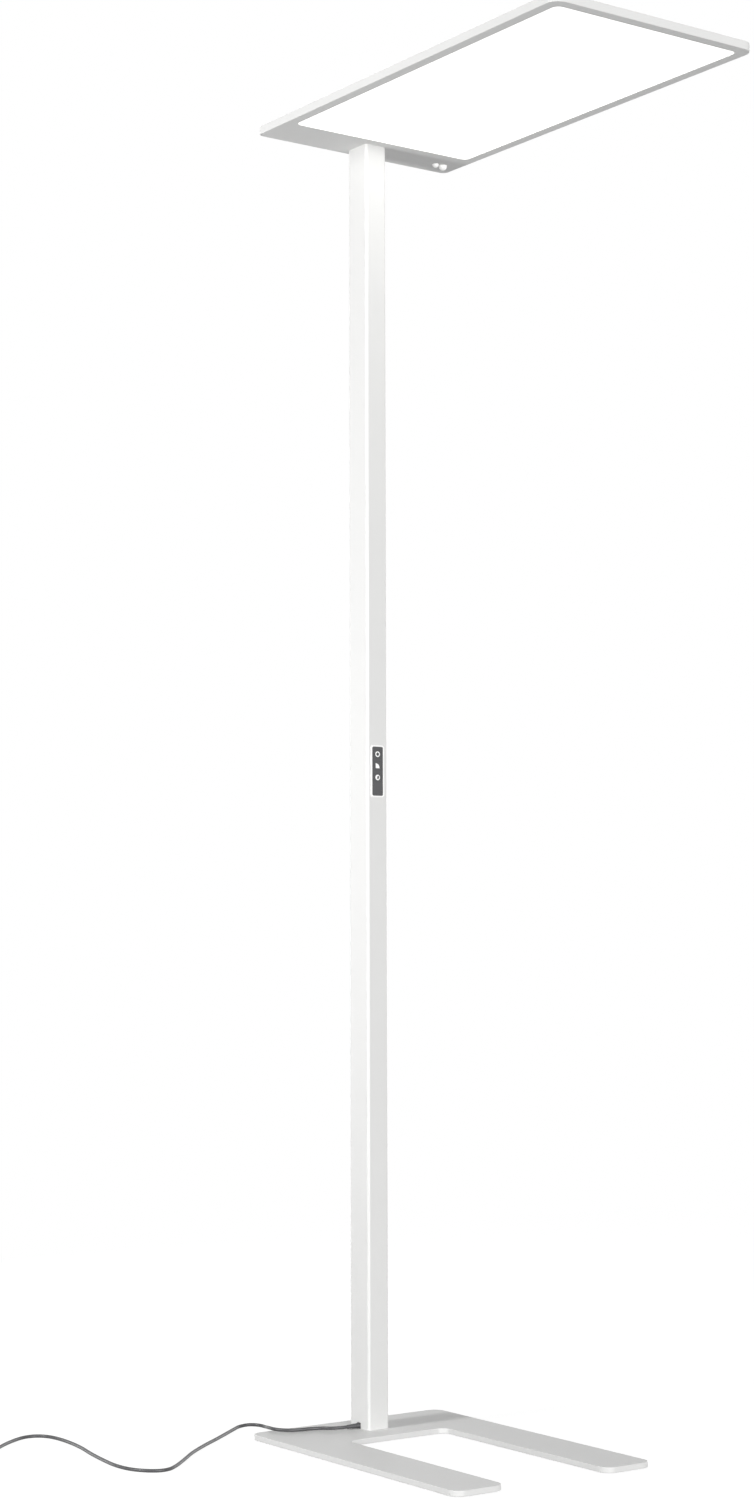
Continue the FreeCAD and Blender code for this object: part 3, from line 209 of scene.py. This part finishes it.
def addSkin(name, rings, slotName, body="lamp", closedAlong=False, sharpAngle=38):
    # rings is (along, around, 3): ring k is joined to ring k + 1 by quads, each ring is closed on itself,
    # and the ends are joined to each other or closed with a fan to the middle of the ring
    rings = np.asarray(rings, dtype=float)
    along, around = rings.shape[:2]
    index = np.arange(along * around).reshape(along, around)
    lower = index if closedAlong else index[:-1]
    upper = np.roll(index, -1, 0) if closedAlong else index[1:]
    quads = np.stack([lower, np.roll(lower, -1, 1), np.roll(upper, -1, 1), upper], -1).reshape(-1, 4)
    points = rings.reshape(-1, 3)
    fans = np.zeros((0, 3), int)
    if not closedAlong:
        points = np.vstack([points, rings[0].mean(0), rings[-1].mean(0)])
        first, last = index[0], index[-1]
        fans = np.vstack([np.stack([np.roll(first, -1), first, np.full(around, along * around)], -1),
                          np.stack([last, np.roll(last, -1), np.full(around, along * around + 1)], -1)])
    halves = np.vstack([quads[:, [0, 1, 2]], quads[:, [0, 2, 3]], fans])
    corners = points[halves]
    volume = np.einsum("ij,ij->i", corners[:, 0], np.cross(corners[:, 1], corners[:, 2])).sum()
    if volume < 0:  # faces turned outwards
        quads, fans = quads[:, ::-1], fans[:, ::-1]
    mesh = bpy.data.meshes.new(name)
    mesh.from_pydata(points.tolist(), [], quads.tolist() + fans.tolist())
    mesh.shade_smooth()
    mesh.set_sharp_from_angle(angle=math.radians(sharpAngle))
    mesh.materials.append(finishes[slotName])
    piece = addObject(name, mesh)
    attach(piece, body)
    return piece


perCorner = 8  # points on each rounded corner of an outline


def cornerAngles(count):
    # the bearings of four quarter arcs, one after the other, anticlockwise
    return np.tile(np.linspace(0, math.pi / 2, count), 4) + np.repeat(np.arange(4) * math.pi / 2, count)


def roundedRectangle(halfWide, halfTall, radius, count=perCorner):
    # four quarter arcs, each centred a radius inside its corner; returns (4 * count, 2), anticlockwise
    corner = np.repeat(np.array([[1, 1], [-1, 1], [-1, -1], [1, -1]]), count, 0)
    angle = cornerAngles(count)
    inset = corner * (np.array([halfWide, halfTall]) - radius)
    return inset + radius * np.stack([np.cos(angle), np.sin(angle)], -1)


def softBox(angle, halfWide, halfTall, power):
    # superellipse: each axis is its half size times cosine or sine, raised to 2 / power with its sign kept
    wide, tall = np.cos(angle), np.sin(angle)
    return (halfWide * np.sign(wide) * np.abs(wide) ** (2 / power),
            halfTall * np.sign(tall) * np.abs(tall) ** (2 / power))


def smoothStep(value, start, end):
    # share ** 2 * (3 - 2 * share) of the way from start to end
    share = np.clip((value - start) / (end - start), 0, 1)
    return share * share * (3 - 2 * share)


def grooves(along, pitch):
    # ((1 - cos) / 2) ** 2, from 0 at each rib's crest to 1 in the middle of each groove
    return (0.5 - 0.5 * np.cos(2 * math.pi * along / pitch)) ** 2


# mains cord: the free stretch, then a tied coil in two layers, then the plug, sizes in metres

cordRoute = {
    "points": [
        (-0.04, 0.30475, 0.0142), (-0.061, 0.30475, 0.0142), (-0.0753, 0.3284, 0.0132),
        (-0.117, 0.3334, 0.0132), (-0.134, 0.3519, 0.0136), (-0.1337, 0.3746, 0.0134),
        (-0.1142, 0.4071, 0.00677), (-0.1031, 0.426, 0.003), (-0.1049, 0.4424, 0.00364),
        (-0.1166, 0.4536, 0.0041), (-0.1337, 0.4546, 0.00275), (-0.1483, 0.4427, 0.00275),
        (-0.2139, 0.3895, 0.00275), (-0.2432, 0.3678, 0.00275), (-0.2923, 0.3273, 0.00275),
        (-0.3241, 0.2945, 0.00275), (-0.3584, 0.2604, 0.00275), (-0.383, 0.2417, 0.00275),
        (-0.4047, 0.2463, 0.00275), (-0.4241, 0.2732, 0.00275), (-0.4282, 0.311, 0.00275),
        (-0.4223, 0.3562, 0.00275), (-0.4148, 0.4019, 0.00275), (-0.4014, 0.4606, 0.00275),
        (-0.3965, 0.526, 0.00275), (-0.4043, 0.5628, 0.00275), (-0.4291, 0.5732, 0.00275),
        (-0.465, 0.55075, 0.003), (-0.499, 0.51875, 0.0041), (-0.531, 0.48775, 0.0041)],
    "diameter": 0.005, "length": 2.539, "coilTurns": 7.45, "coilRadius": 0.030, "coilPitch": 0.00565,
    "layerRise": 0.0055, "coilPoints": 89, "lead": 0.005, "plugLevel": 0.00685,
    "tailSteps": (0.010, 0.020, 0.030, 0.035), "order": 3, "stepsPerPoint": 8, "roundness": 6,
}


def coilControl():
    # a flat spiral that winds in for half its angle and out again one layer higher, clockwise from above:
    # radius = outer - rate * turn / 2 + rate * |angle - middle|, rounded over a quarter turn each side of the
    # middle, where the height climbs by layerRise; the points stand a little outside the curve they pull
    before, last = np.array(cordRoute["points"][-2]), np.array(cordRoute["points"][-1])
    heading = (last - before) / np.linalg.norm(last - before)
    turn = 2 * math.pi * cordRoute["coilTurns"]
    rate = cordRoute["coilPitch"] / (2 * math.pi)
    outer = cordRoute["coilRadius"] + rate * turn / 4
    across = np.array([heading[1], -heading[0], 0])
    towards = across + heading * rate / outer
    towards /= np.linalg.norm(towards)
    centre = last + heading * cordRoute["lead"] + towards * outer
    phase = math.atan2(-towards[1], -towards[0])
    bend = math.pi / 2

    def at(angle):
        offset = angle - turn / 2
        sweep = np.where(np.abs(offset) < bend, offset ** 2 / (2 * bend) + bend / 2, np.abs(offset))
        radius = outer - rate * turn / 2 + rate * sweep
        share = np.clip((offset + bend) / (2 * bend), 0, 1)
        height = centre[2] + cordRoute["layerRise"] * (share - np.sin(2 * math.pi * share) / (2 * math.pi))
        return radius, phase - angle, height

    step = turn / cordRoute["coilPoints"]
    radius, bearing, height = at((np.arange(cordRoute["coilPoints"]) + 0.5) * step)
    radius = radius / math.cos(step / 2)
    turns = np.stack([centre[0] + radius * np.cos(bearing), centre[1] + radius * np.sin(bearing), height], -1)
    radius, bearing, height = at(np.array(turn))
    end = np.array([centre[0] + radius * math.cos(bearing), centre[1] + radius * math.sin(bearing), height])
    ahead = rate * np.array([math.cos(bearing), math.sin(bearing), 0])
    ahead = ahead + radius * np.array([math.sin(bearing), -math.cos(bearing), 0])
    ahead /= np.linalg.norm(ahead)
    tail = end + ahead * np.array(cordRoute["tailSteps"])[:, None]
    tail[1:, 2] = cordRoute["plugLevel"]
    return np.vstack([turns, tail]), centre, phase


def makeCord():
    # a NURBS curve pulled by the points of the free stretch, the coil and the tail, with a round bevel
    control, coilCentre, coilPhase = coilControl()
    route = np.vstack([np.array(cordRoute["points"]), control])
    curve = bpy.data.curves.new("mainsCord", "CURVE")
    curve.dimensions = "3D"
    spline = curve.splines.new("NURBS")
    spline.points.add(len(route) - 1)
    spline.points.foreach_set("co", np.hstack([route, np.ones((len(route), 1))]).ravel())
    spline.order_u = cordRoute["order"]
    spline.use_endpoint_u = True
    spline.resolution_u = cordRoute["stepsPerPoint"]
    curve.bevel_depth = cordRoute["diameter"] / 2
    curve.bevel_resolution = cordRoute["roundness"]
    curve.use_fill_caps = True
    curve.materials.append(finishes["grey_cord"])
    piece = addObject("mainsCord", curve)
    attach(piece, "lamp")
    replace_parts(piece, "mains_cord", "mains_cord_coil")
    end = route[-1]
    heading = route[-1] - route[-2]
    return piece, end, heading / np.linalg.norm(heading), coilCentre, coilPhase


mainsCord, cordEnd, cordHeading, coilCentre, coilPhase = makeCord()
print("cord laid, its end at", [round(float(v), 5) for v in cordEnd])


# strain relief in the post's notch: square root, lip inside, ribbed cone outside, sizes in mm

bootShape = {"lip": (-14.9, -16.5), "root": -19.5, "tip": -40.0, "centreY": 304.75, "coneZ": 14.2,
             "lipHalf": (5.7, 4.95), "lipZ": 15.25, "rootHalf": (4.0, 4.0), "rootZ": 14.3,
             "neck": 3.9, "end": 3.0, "ribPitch": 2.9, "ribDepth": 0.45, "rounding": 0.4,
             "ribsStart": (0.02, 0.10), "ribsStop": (0.86, 0.95), "tipInsets": (0.05, 0.12, 0.25, 0.45),
             "squarePower": 10, "roundPower": 2, "midRoot": 1.0, "crispStep": 0.01, "stations": 90,
             "around": 48}


def makeCordBoot():
    # rings across x: half sizes and middle height pass from the lip to the square root to a round cone;
    # the cone's radius falls evenly and dips by ribDepth * ((1 - cos) / 2) ** 2 in each groove; a crispStep
    # between two stations keeps the edge between two sections sharp
    shape = bootShape
    lip, root, tip = shape["lip"], shape["root"], shape["tip"]
    rim, crisp, power = shape["rounding"], shape["crispStep"], shape["squarePower"]
    square = [(lip[0], -rim), (lip[0] - rim, 0), (lip[1] + crisp, 0)]
    stations = [(x, shape["lipHalf"][0] + inset, shape["lipHalf"][1] + inset, shape["lipZ"], power)
                for x, inset in square]
    stations += [(x, shape["rootHalf"][0], shape["rootHalf"][1], shape["rootZ"], power)
                 for x in (lip[1], lip[1] - shape["midRoot"], root + crisp)]
    count = shape["stations"]
    reach = np.linspace(0, 1, count)
    x = root + (tip - root) * reach
    ribs = grooves(x - root, shape["ribPitch"])
    ribs = ribs * smoothStep(reach, *shape["ribsStart"]) * (1 - smoothStep(reach, *shape["ribsStop"]))
    radius = shape["neck"] + (shape["end"] - shape["neck"]) * reach - shape["ribDepth"] * ribs
    radius[-len(shape["tipInsets"]):] -= np.array(shape["tipInsets"])
    level, roundPower = np.full(count, shape["coneZ"]), np.full(count, shape["roundPower"])
    stations = np.vstack([stations, np.stack([x, radius, radius, level, roundPower], -1)])
    angle = np.linspace(0, 2 * math.pi, shape["around"], endpoint=False)[None, :]
    wide, tall = softBox(angle, stations[:, 1:2], stations[:, 2:3], stations[:, 4:5])
    rings = np.stack([np.broadcast_to(stations[:, 0:1], wide.shape), shape["centreY"] + wide,
                      stations[:, 3:4] + tall], -1) / mmPerMetre
    piece = addSkin("cordBoot", rings, "grey_cord")
    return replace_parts(piece, "cord_relief")


makeCordBoot()


# plug, flat with two round pins, sizes in mm along the cord's heading

plugShape = {"bootLength": 20.0, "bootNeck": 3.1, "bootRoot": 4.6, "bootSunk": 0.6, "bootRings": 90,
             "bootAround": 40, "ribPitch": 2.9, "ribDepth": 0.5, "ribsStart": (1.0, 2.6),
             "ribsStop": (16.5, 19.0), "neckInsets": (0.4, 0.2, 0.08),
             "bodyLength": 34.0, "halfWide": 13.0, "halfGrip": 9.4, "halfThick": 6.85,
             "widening": (9.0, 21.0), "corner": 4.6, "cornerShare": 0.9, "rim": 1.2, "squarePower": 7.0,
             "bodyRings": 150, "rearRings": (0.02, 0.1, 0.3), "faceRings": (0.05, 0.3), "bodyAround": 96,
             "ridgePitch": 2.6, "ridgeDepth": 0.45, "ridgePower": 6, "ridgesStart": (3.5, 5.0),
             "ridgesStop": (14.0, 15.5), "ridgesFade": (4.5, 6.2),
             "pinSpacing": 18.6, "pinRadius": 2.0, "pinLength": 19.0, "pinSunk": 1.5, "pinAround": 28,
             "sleeveLength": 10.0, "sleeveRadius": 1.93, "sleeveEdge": 0.15, "pinBevel": 0.1,
             "tipRound": 1.0, "pole": 0.02}


def onPlug(rings):
    # from mm along the plug, across it and up, to metres in the lamp's frame
    side = np.array([-cordHeading[1], cordHeading[0], 0])
    return cordEnd + (rings[..., 0:1] * cordHeading + rings[..., 1:2] * side
                      + rings[..., 2:3] * np.array([0, 0, 1])) / mmPerMetre


def turned(profile, around, offset=0.0):
    # a profile of (distance along, radius) carried round the axis that lies offset to one side
    profile = np.asarray(profile, dtype=float)
    angle = np.linspace(0, 2 * math.pi, around, endpoint=False)[None, :]
    along, radius = profile[:, 0:1], profile[:, 1:2]
    return np.stack([np.broadcast_to(along, (len(profile), around)), offset + radius * np.cos(angle),
                     radius * np.sin(angle)], -1)


def makePlug():
    shape = plugShape
    # boot: an even cone less a groove of ribDepth every ribPitch
    along = np.linspace(0, shape["bootLength"] + shape["bootSunk"], shape["bootRings"])
    radius = shape["bootNeck"] + (shape["bootRoot"] - shape["bootNeck"]) * along / shape["bootLength"]
    radius -= (shape["ribDepth"] * grooves(along, shape["ribPitch"]) * smoothStep(along, *shape["ribsStart"])
               * (1 - smoothStep(along, *shape["ribsStop"])))
    radius[:len(shape["neckInsets"])] -= np.array(shape["neckInsets"])
    rings = turned(np.stack([along, radius], -1), shape["bootAround"])
    boot = addSkin("plugBoot", onPlug(rings), "grey_cord")
    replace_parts(boot, "plug_relief")

    # shell: soft box sections; the half width opens from the grip to the pin face by a smooth step, both
    # half sizes round in at the ends by a quarter circle, and the grip's faces dip in narrow ridges
    length = shape["bodyLength"]
    along = np.unique(np.concatenate([np.linspace(0, length, shape["bodyRings"]), shape["rearRings"],
                                      length - np.array(shape["faceRings"])]))
    back = 1 - np.sqrt(np.clip(1 - (1 - np.clip(along / shape["corner"], 0, 1)) ** 2, 0, 1))
    ends = np.minimum(along, length - along)
    rim = 1 - np.sqrt(np.clip(1 - (1 - np.clip(ends / shape["rim"], 0, 1)) ** 2, 0, 1))
    wide = shape["halfGrip"] + (shape["halfWide"] - shape["halfGrip"]) * smoothStep(along, *shape["widening"])
    wide = wide - shape["corner"] * shape["cornerShare"] * back - shape["rim"] * rim * (along > length / 2)
    thick = shape["halfThick"] - shape["rim"] * rim
    ridges = np.abs(np.cos(math.pi * along / shape["ridgePitch"])) ** shape["ridgePower"]
    ridges = (ridges * smoothStep(along, *shape["ridgesStart"])
              * (1 - smoothStep(along, *shape["ridgesStop"])))
    angle = np.linspace(0, 2 * math.pi, shape["bodyAround"], endpoint=False)[None, :]
    across, up = softBox(angle, wide[:, None], thick[:, None], shape["squarePower"])
    dip = shape["ridgeDepth"] * ridges[:, None] * smoothStep(np.abs(up), *shape["ridgesFade"])
    up = up - np.sign(up) * dip
    rings = np.stack([np.broadcast_to(along[:, None] + shape["bootLength"], across.shape), across, up], -1)
    shell = addSkin("plugShell", onPlug(rings), "black_thermoplastic")
    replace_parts(shell, "plug_body")

    # pins: a sleeve for the first stretch, then bare metal with a rounded tip; a flat end starts on a ring
    # of the tiny radius pole, which its fan closes
    face = shape["bootLength"] + length
    bare = face + shape["sleeveLength"]
    edge, bevel, pole = shape["sleeveEdge"], shape["pinBevel"], shape["pole"]
    quarter = np.linspace(0, math.pi / 2, perCorner)
    sleeve = [(face - shape["pinSunk"], pole), (face - shape["pinSunk"], shape["sleeveRadius"]),
              (bare - 2 * bevel, shape["sleeveRadius"]), (bare, shape["sleeveRadius"] - edge), (bare, pole)]
    tip = [(face + shape["pinLength"] - shape["tipRound"] * (1 - math.sin(a)),
            shape["pinRadius"] - shape["tipRound"] * (1 - math.cos(a))) for a in quarter]
    metal = [(bare - bevel, pole), (bare - bevel, shape["pinRadius"] - edge),
             (bare + bevel, shape["pinRadius"])] + tip
    pieces = []
    for name, profile, slotName in (("pinSleeves", sleeve, "black_thermoplastic"),
                                    ("plugPins", metal, "nickel")):
        for side, end in ((-1, "A"), (1, "B")):
            rings = onPlug(turned(profile, shape["pinAround"], side * shape["pinSpacing"] / 2))
            pieces.append(addSkin(name + end, rings, slotName))
    for pin in pieces[2:]:
        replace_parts(pin, "plug_pins")
    return [boot, shell] + pieces


plugPieces = makePlug()
print("plug and boots made")


# coil tie: a hook-and-loop band, its free end lapped on top, sizes in mm from the coil's middle

tieShape = {"turnShare": 0.2, "near": 17.1, "far": 43.2, "low": 0.3, "high": 13.4, "halfWide": 6.0,
            "thick": 0.6, "lap": 0.4, "corner": 3.5, "edgeShare": 0.4, "edgePoints": 5, "lapFrom": 3,
            "lapTo": 17}


def makeTie():
    # each station of a rounded rectangle that stands across the turns carries a thin rounded slab;
    # the lap follows the stations of the outer face and the top, one band's thickness further out
    shape = tieShape
    angle = coilPhase - shape["turnShare"] * 2 * math.pi
    out = np.array([math.cos(angle), math.sin(angle), 0])
    side = np.array([-out[1], out[0], 0])
    up = np.array([0, 0, 1])
    middle = coilCentre * [1, 1, 0] + out * (shape["near"] + shape["far"]) / (2 * mmPerMetre)
    middle = middle + up * (shape["low"] + shape["high"]) / (2 * mmPerMetre)
    half = ((shape["far"] - shape["near"]) / 2, (shape["high"] - shape["low"]) / 2)
    pieces = []
    for name, inset, thick, isLap in (("tieBand", shape["lap"] + shape["thick"] / 2, shape["thick"], False),
                                      ("tieLap", shape["lap"] / 2, shape["lap"], True)):
        loop = roundedRectangle(half[0] - inset, half[1] - inset, shape["corner"] - inset)
        facing = cornerAngles(perCorner)
        if isLap:
            loop, facing = loop[shape["lapFrom"]:shape["lapTo"]], facing[shape["lapFrom"]:shape["lapTo"]]
        slab = roundedRectangle(shape["halfWide"], thick / 2, thick * shape["edgeShare"],
                                shape["edgePoints"])
        outwards = np.cos(facing)[:, None, None] * out + np.sin(facing)[:, None, None] * up
        rings = (middle + (loop[:, None, 0:1] * out + loop[:, None, 1:2] * up
                           + slab[None, :, 1:2] * outwards + slab[None, :, 0:1] * side) / mmPerMetre)
        pieces.append(addSkin(name, rings, "black_thermoplastic", closedAlong=not isLap))
    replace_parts(pieces[0], "cord_tie")
    return pieces


tiePieces = makeTie()
print("coil tied")


# control panel: moulded bezel with soft rims, and a white mark printed on each key, sizes in mm

panelShape = {"middleZ": 982.0, "opening": (9.8, 36.8, 2.6), "outside": (12.0, 39.0, 4.0),
              "front": 278.95, "post": 279.75, "back": 288.35, "sleeve": 0.9, "innerRound": 0.3,
              "outerRound": 0.55, "roundPoints": 6}


def onPanel(outline, depth, middleZ):
    # a flat outline of (across, up) stood at one depth of the post's front
    flat = np.asarray(outline, dtype=float)
    return np.stack([flat[:, 0], np.full(len(flat), depth), middleZ + flat[:, 1]], -1) / mmPerMetre


def makeBezel():
    # stations pass from the opening's outline to the outer one by a share of the rim's width, while their
    # depth follows the section: sleeve, inner rounding, flat face, outer rounding, back of the rim
    shape = panelShape
    inner = roundedRectangle(*shape["opening"])
    outer = roundedRectangle(*shape["outside"])
    width = shape["outside"][0] - shape["opening"][0]
    quarter = np.linspace(0, math.pi / 2, shape["roundPoints"])
    front, small, large = shape["front"], shape["innerRound"], shape["outerRound"]
    section = [(0, shape["back"])]
    section += [(small * (1 - math.cos(a)), front + small * (1 - math.sin(a))) for a in quarter]
    section += [(width - large * (1 - math.sin(a)), front + large * (1 - math.cos(a))) for a in quarter]
    section += [(width, shape["post"]), (shape["sleeve"], shape["post"]), (shape["sleeve"], shape["back"])]
    rings = [onPanel(inner + (outer - inner) * across / width, depth, shape["middleZ"])
             for across, depth in section]
    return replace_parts(addSkin("panelBezel", rings, "white_moulding", closedAlong=True), "control_bezel")


markShape = {"heights": (1007.6, 990.1, 972.6), "disc": 4.2, "ringHole": 2.6, "leaningHole": (1.8, 2.8),
             "lean": 18, "aside": 0.7, "wedgeCorner": -3.6, "wedgeSize": (7.0, 7.4), "cornerCut": (0.4, 0.1),
             "keyFace": 279.15, "inkThick": 0.05, "inkSunk": 0.02, "inkEdge": 0.99, "around": 48}


def oval(halfWide, halfTall):
    # half sizes times cosine and sine
    angle = np.linspace(0, 2 * math.pi, markShape["around"], endpoint=False)
    return np.stack([halfWide * np.cos(angle), halfTall * np.sin(angle)], -1)


def makeMarks():
    # each mark is an outline, with or without a hole, lifted off the key's face by the ink's thickness;
    # the wedge is a quarter of an ellipse with its corner cut by two short steps
    shape = markShape
    turn = np.linspace(0, math.pi / 2, shape["around"] // 2)
    corner, (long, short) = shape["wedgeCorner"], shape["cornerCut"]
    wedge = corner + np.vstack([np.array(shape["wedgeSize"]) * np.stack([np.cos(turn), np.sin(turn)], -1),
                                [(0, long), (short, short), (long, 0)]])
    lean = math.radians(shape["lean"])
    tilt = np.array([[math.cos(lean), -math.sin(lean)], [math.sin(lean), math.cos(lean)]])
    leaning = oval(*shape["leaningHole"]) @ tilt + np.array([shape["aside"], 0])
    disc, ringHole = (oval(radius, radius) for radius in (shape["disc"], shape["ringHole"]))
    power, dimmer, sensor = shape["heights"]
    marks = (("powerMark", "power_button", power, disc, ringHole),
             ("dimmerMark", "dimmer_button", dimmer, wedge, None),
             ("sensorMark", "sensor_button", sensor, disc, leaning))
    back, front = shape["keyFace"] + shape["inkSunk"], shape["keyFace"] - shape["inkThick"]
    for name, body, middleZ, outline, hole in marks:
        rings = [onPanel(outline, back, middleZ), onPanel(outline * shape["inkEdge"], front, middleZ)]
        if hole is not None:
            rings += [onPanel(hole, front, middleZ), onPanel(hole, back, middleZ)]
        addSkin(name, rings, "white_moulding", body, closedAlong=hole is not None)


makeBezel()
makeMarks()
print("control panel made")


# motion sensor lens: a thin milky dome moulded in facets, sizes in mm

motionDome = {"middle": (147.0, 306.25, 1937.0), "radius": 6.5, "wall": 0.8, "flange": 7.4,
              "flangeLow": 1942.5, "top": 1943.5, "bands": (22.0, 45.0, 68.0), "sectors": (0, 6, 9, 12),
              "groove": 0.28, "grooveHalf": 0.26, "poleAngle": 0.6, "rings": 72, "around": 144}


def makeMotionDome():
    # rings run from the inner pole up the inner wall, over the flange and down to the outer pole; the outer
    # nose is a sphere less groove * exp(-(distance to the nearest facet edge / grooveHalf) ** 2)
    shape = motionDome
    around = shape["around"]
    turn = np.linspace(0, 2 * math.pi, around, endpoint=False)[None, :]
    polar = np.radians(np.linspace(shape["poleAngle"], 90, shape["rings"]))[:, None]
    x0, y0, z0 = shape["middle"]
    edges = np.radians(np.array(shape["bands"]))
    toBand = np.abs(polar - edges[None, :]).min(1)[:, None] * shape["radius"]
    sectors = np.array(shape["sectors"])[np.searchsorted(edges, polar[:, 0])][:, None]
    spoke = np.where(sectors > 0, 2 * math.pi / np.maximum(sectors, 1), 1)
    swing = np.abs((turn + 0.5 * spoke) % spoke - 0.5 * spoke)
    toSpoke = np.where(sectors > 0, swing * np.sin(polar) * shape["radius"], np.inf)
    nearest = np.minimum(toSpoke, toBand)
    radius = shape["radius"] - shape["groove"] * np.exp(-(nearest / shape["grooveHalf"]) ** 2)
    nose = np.stack([x0 + radius * np.sin(polar) * np.cos(turn), y0 + radius * np.sin(polar) * np.sin(turn),
                     z0 - radius * np.cos(polar)], -1)
    inner = shape["radius"] - shape["wall"]
    hollow = np.stack([x0 + inner * np.sin(polar) * np.cos(turn), y0 + inner * np.sin(polar) * np.sin(turn),
                       np.broadcast_to(z0 - inner * np.cos(polar), (len(polar), around))], -1)

    def ring(reach, height):
        return np.stack([x0 + reach * np.cos(turn), y0 + reach * np.sin(turn),
                         np.full_like(turn, height)], -1)

    rims = [ring(inner, shape["top"]), ring(shape["flange"], shape["top"]),
            ring(shape["flange"], shape["flangeLow"]), ring(shape["radius"], shape["flangeLow"])]
    rings = np.vstack([hollow] + rims + [nose[::-1]]) / mmPerMetre
    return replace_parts(addSkin("motionDome", rings, "sensor_lens_white"), "motion_lens")


makeMotionDome()
print("sensor lens made")


# studio: white sweep, even world, one strip on the left, large soft lights in front, on the right and
# behind, and a small one above; shownGlow and shownDiffuse are the floor as it is seen, floorDiffuse as it
# throws light on the lamp

studio = {"floorSide": 5.0, "floorDiffuse": 0.42, "shownGlow": 0.92, "shownDiffuse": 0.2, "world": 0.18}
lights = {
    # name: place, target, width, height, watts
    "leftStrip": ((-2.3, 0.29, 1.35), (0.0, 0.30, 1.25), 0.26, 2.0, 50.5),
    "frontSoft": ((-1.15, -6.9, 1.3), (0.0, 0.2, 1.0), 4.0, 2.4, 464.0),
    "rightSoft": ((6.8, 2.2, 1.1), (0.0, 0.2, 1.0), 3.0, 2.0, 78.0),
    "backSoft": ((-2.4, 7.0, 1.1), (0.0, 0.2, 1.0), 3.0, 2.0, 75.0),
    "topSoft": ((0.0, -0.02, 3.0), (0.0, -0.02, 1.9), 0.3, 0.6, 7.5),
}


def shownShare(tree):
    # 1 for rays that show or mirror the surroundings, 0 for rays that light the object
    path = addNode(tree, "ShaderNodeLightPath")
    either = addNode(tree, "ShaderNodeMath", links={0: path.outputs["Is Camera Ray"],
                                                    1: path.outputs["Is Glossy Ray"]}, operation="MAXIMUM")
    return addNode(tree, "ShaderNodeMath", links={0: either.outputs[0],
                                                  1: path.outputs["Is Transmission Ray"]},
                   operation="MAXIMUM").outputs[0]


def makeStudio():
    world = bpy.data.worlds.new("softStudio")
    bpy.context.scene.world = world
    tree = emptyTree(world)
    lit = addNode(tree, "ShaderNodeBackground", {"Color": linear("#FFFFFF"), "Strength": studio["world"]})
    shown = addNode(tree, "ShaderNodeBackground", {"Color": linear("#FFFFFF"), "Strength": 1.0})
    mix = addNode(tree, "ShaderNodeMixShader", links={0: shownShare(tree), 1: lit.outputs[0],
                                                      2: shown.outputs[0]})
    addNode(tree, "ShaderNodeOutputWorld", links={"Surface": mix.outputs[0]})

    material = bpy.data.materials.new("whiteSweep")
    tree = emptyTree(material)
    plain = [studio["floorDiffuse"]] * 3 + [1.0]
    faint = [studio["shownDiffuse"]] * 3 + [1.0]
    lit = addNode(tree, "ShaderNodeBsdfDiffuse", {"Color": plain})
    shade = addNode(tree, "ShaderNodeBsdfDiffuse", {"Color": faint})
    glow = addNode(tree, "ShaderNodeEmission", {"Strength": studio["shownGlow"]})
    shown = addNode(tree, "ShaderNodeAddShader", links={0: glow.outputs[0], 1: shade.outputs[0]})
    mix = addNode(tree, "ShaderNodeMixShader", links={0: shownShare(tree), 1: lit.outputs[0],
                                                      2: shown.outputs[0]})
    addNode(tree, "ShaderNodeOutputMaterial", links={"Surface": mix.outputs[0]})
    side = studio["floorSide"] / 2
    mesh = bpy.data.meshes.new("studioFloor")
    corners = [(-side, -side, 0), (side, -side, 0), (side, side, 0), (-side, side, 0)]
    mesh.from_pydata(corners, [], [(0, 1, 2, 3)])
    mesh.materials.append(material)
    addObject("studioFloor", mesh)

    for name, (place, target, width, height, watts) in lights.items():
        data = bpy.data.lights.new(name, "AREA")
        data.shape = "RECTANGLE"
        data.size, data.size_y = width, height
        data.energy = watts
        lamp = addObject(name, data)
        aim = (Vector(target) - Vector(place)).to_track_quat("-Z", "Y")
        lamp.matrix_world = Matrix.Translation(place) @ aim.to_matrix().to_4x4()
        lamp.visible_camera = False


makeStudio()
bpy.context.scene.view_settings.view_transform = "Standard"
print("studio lit")
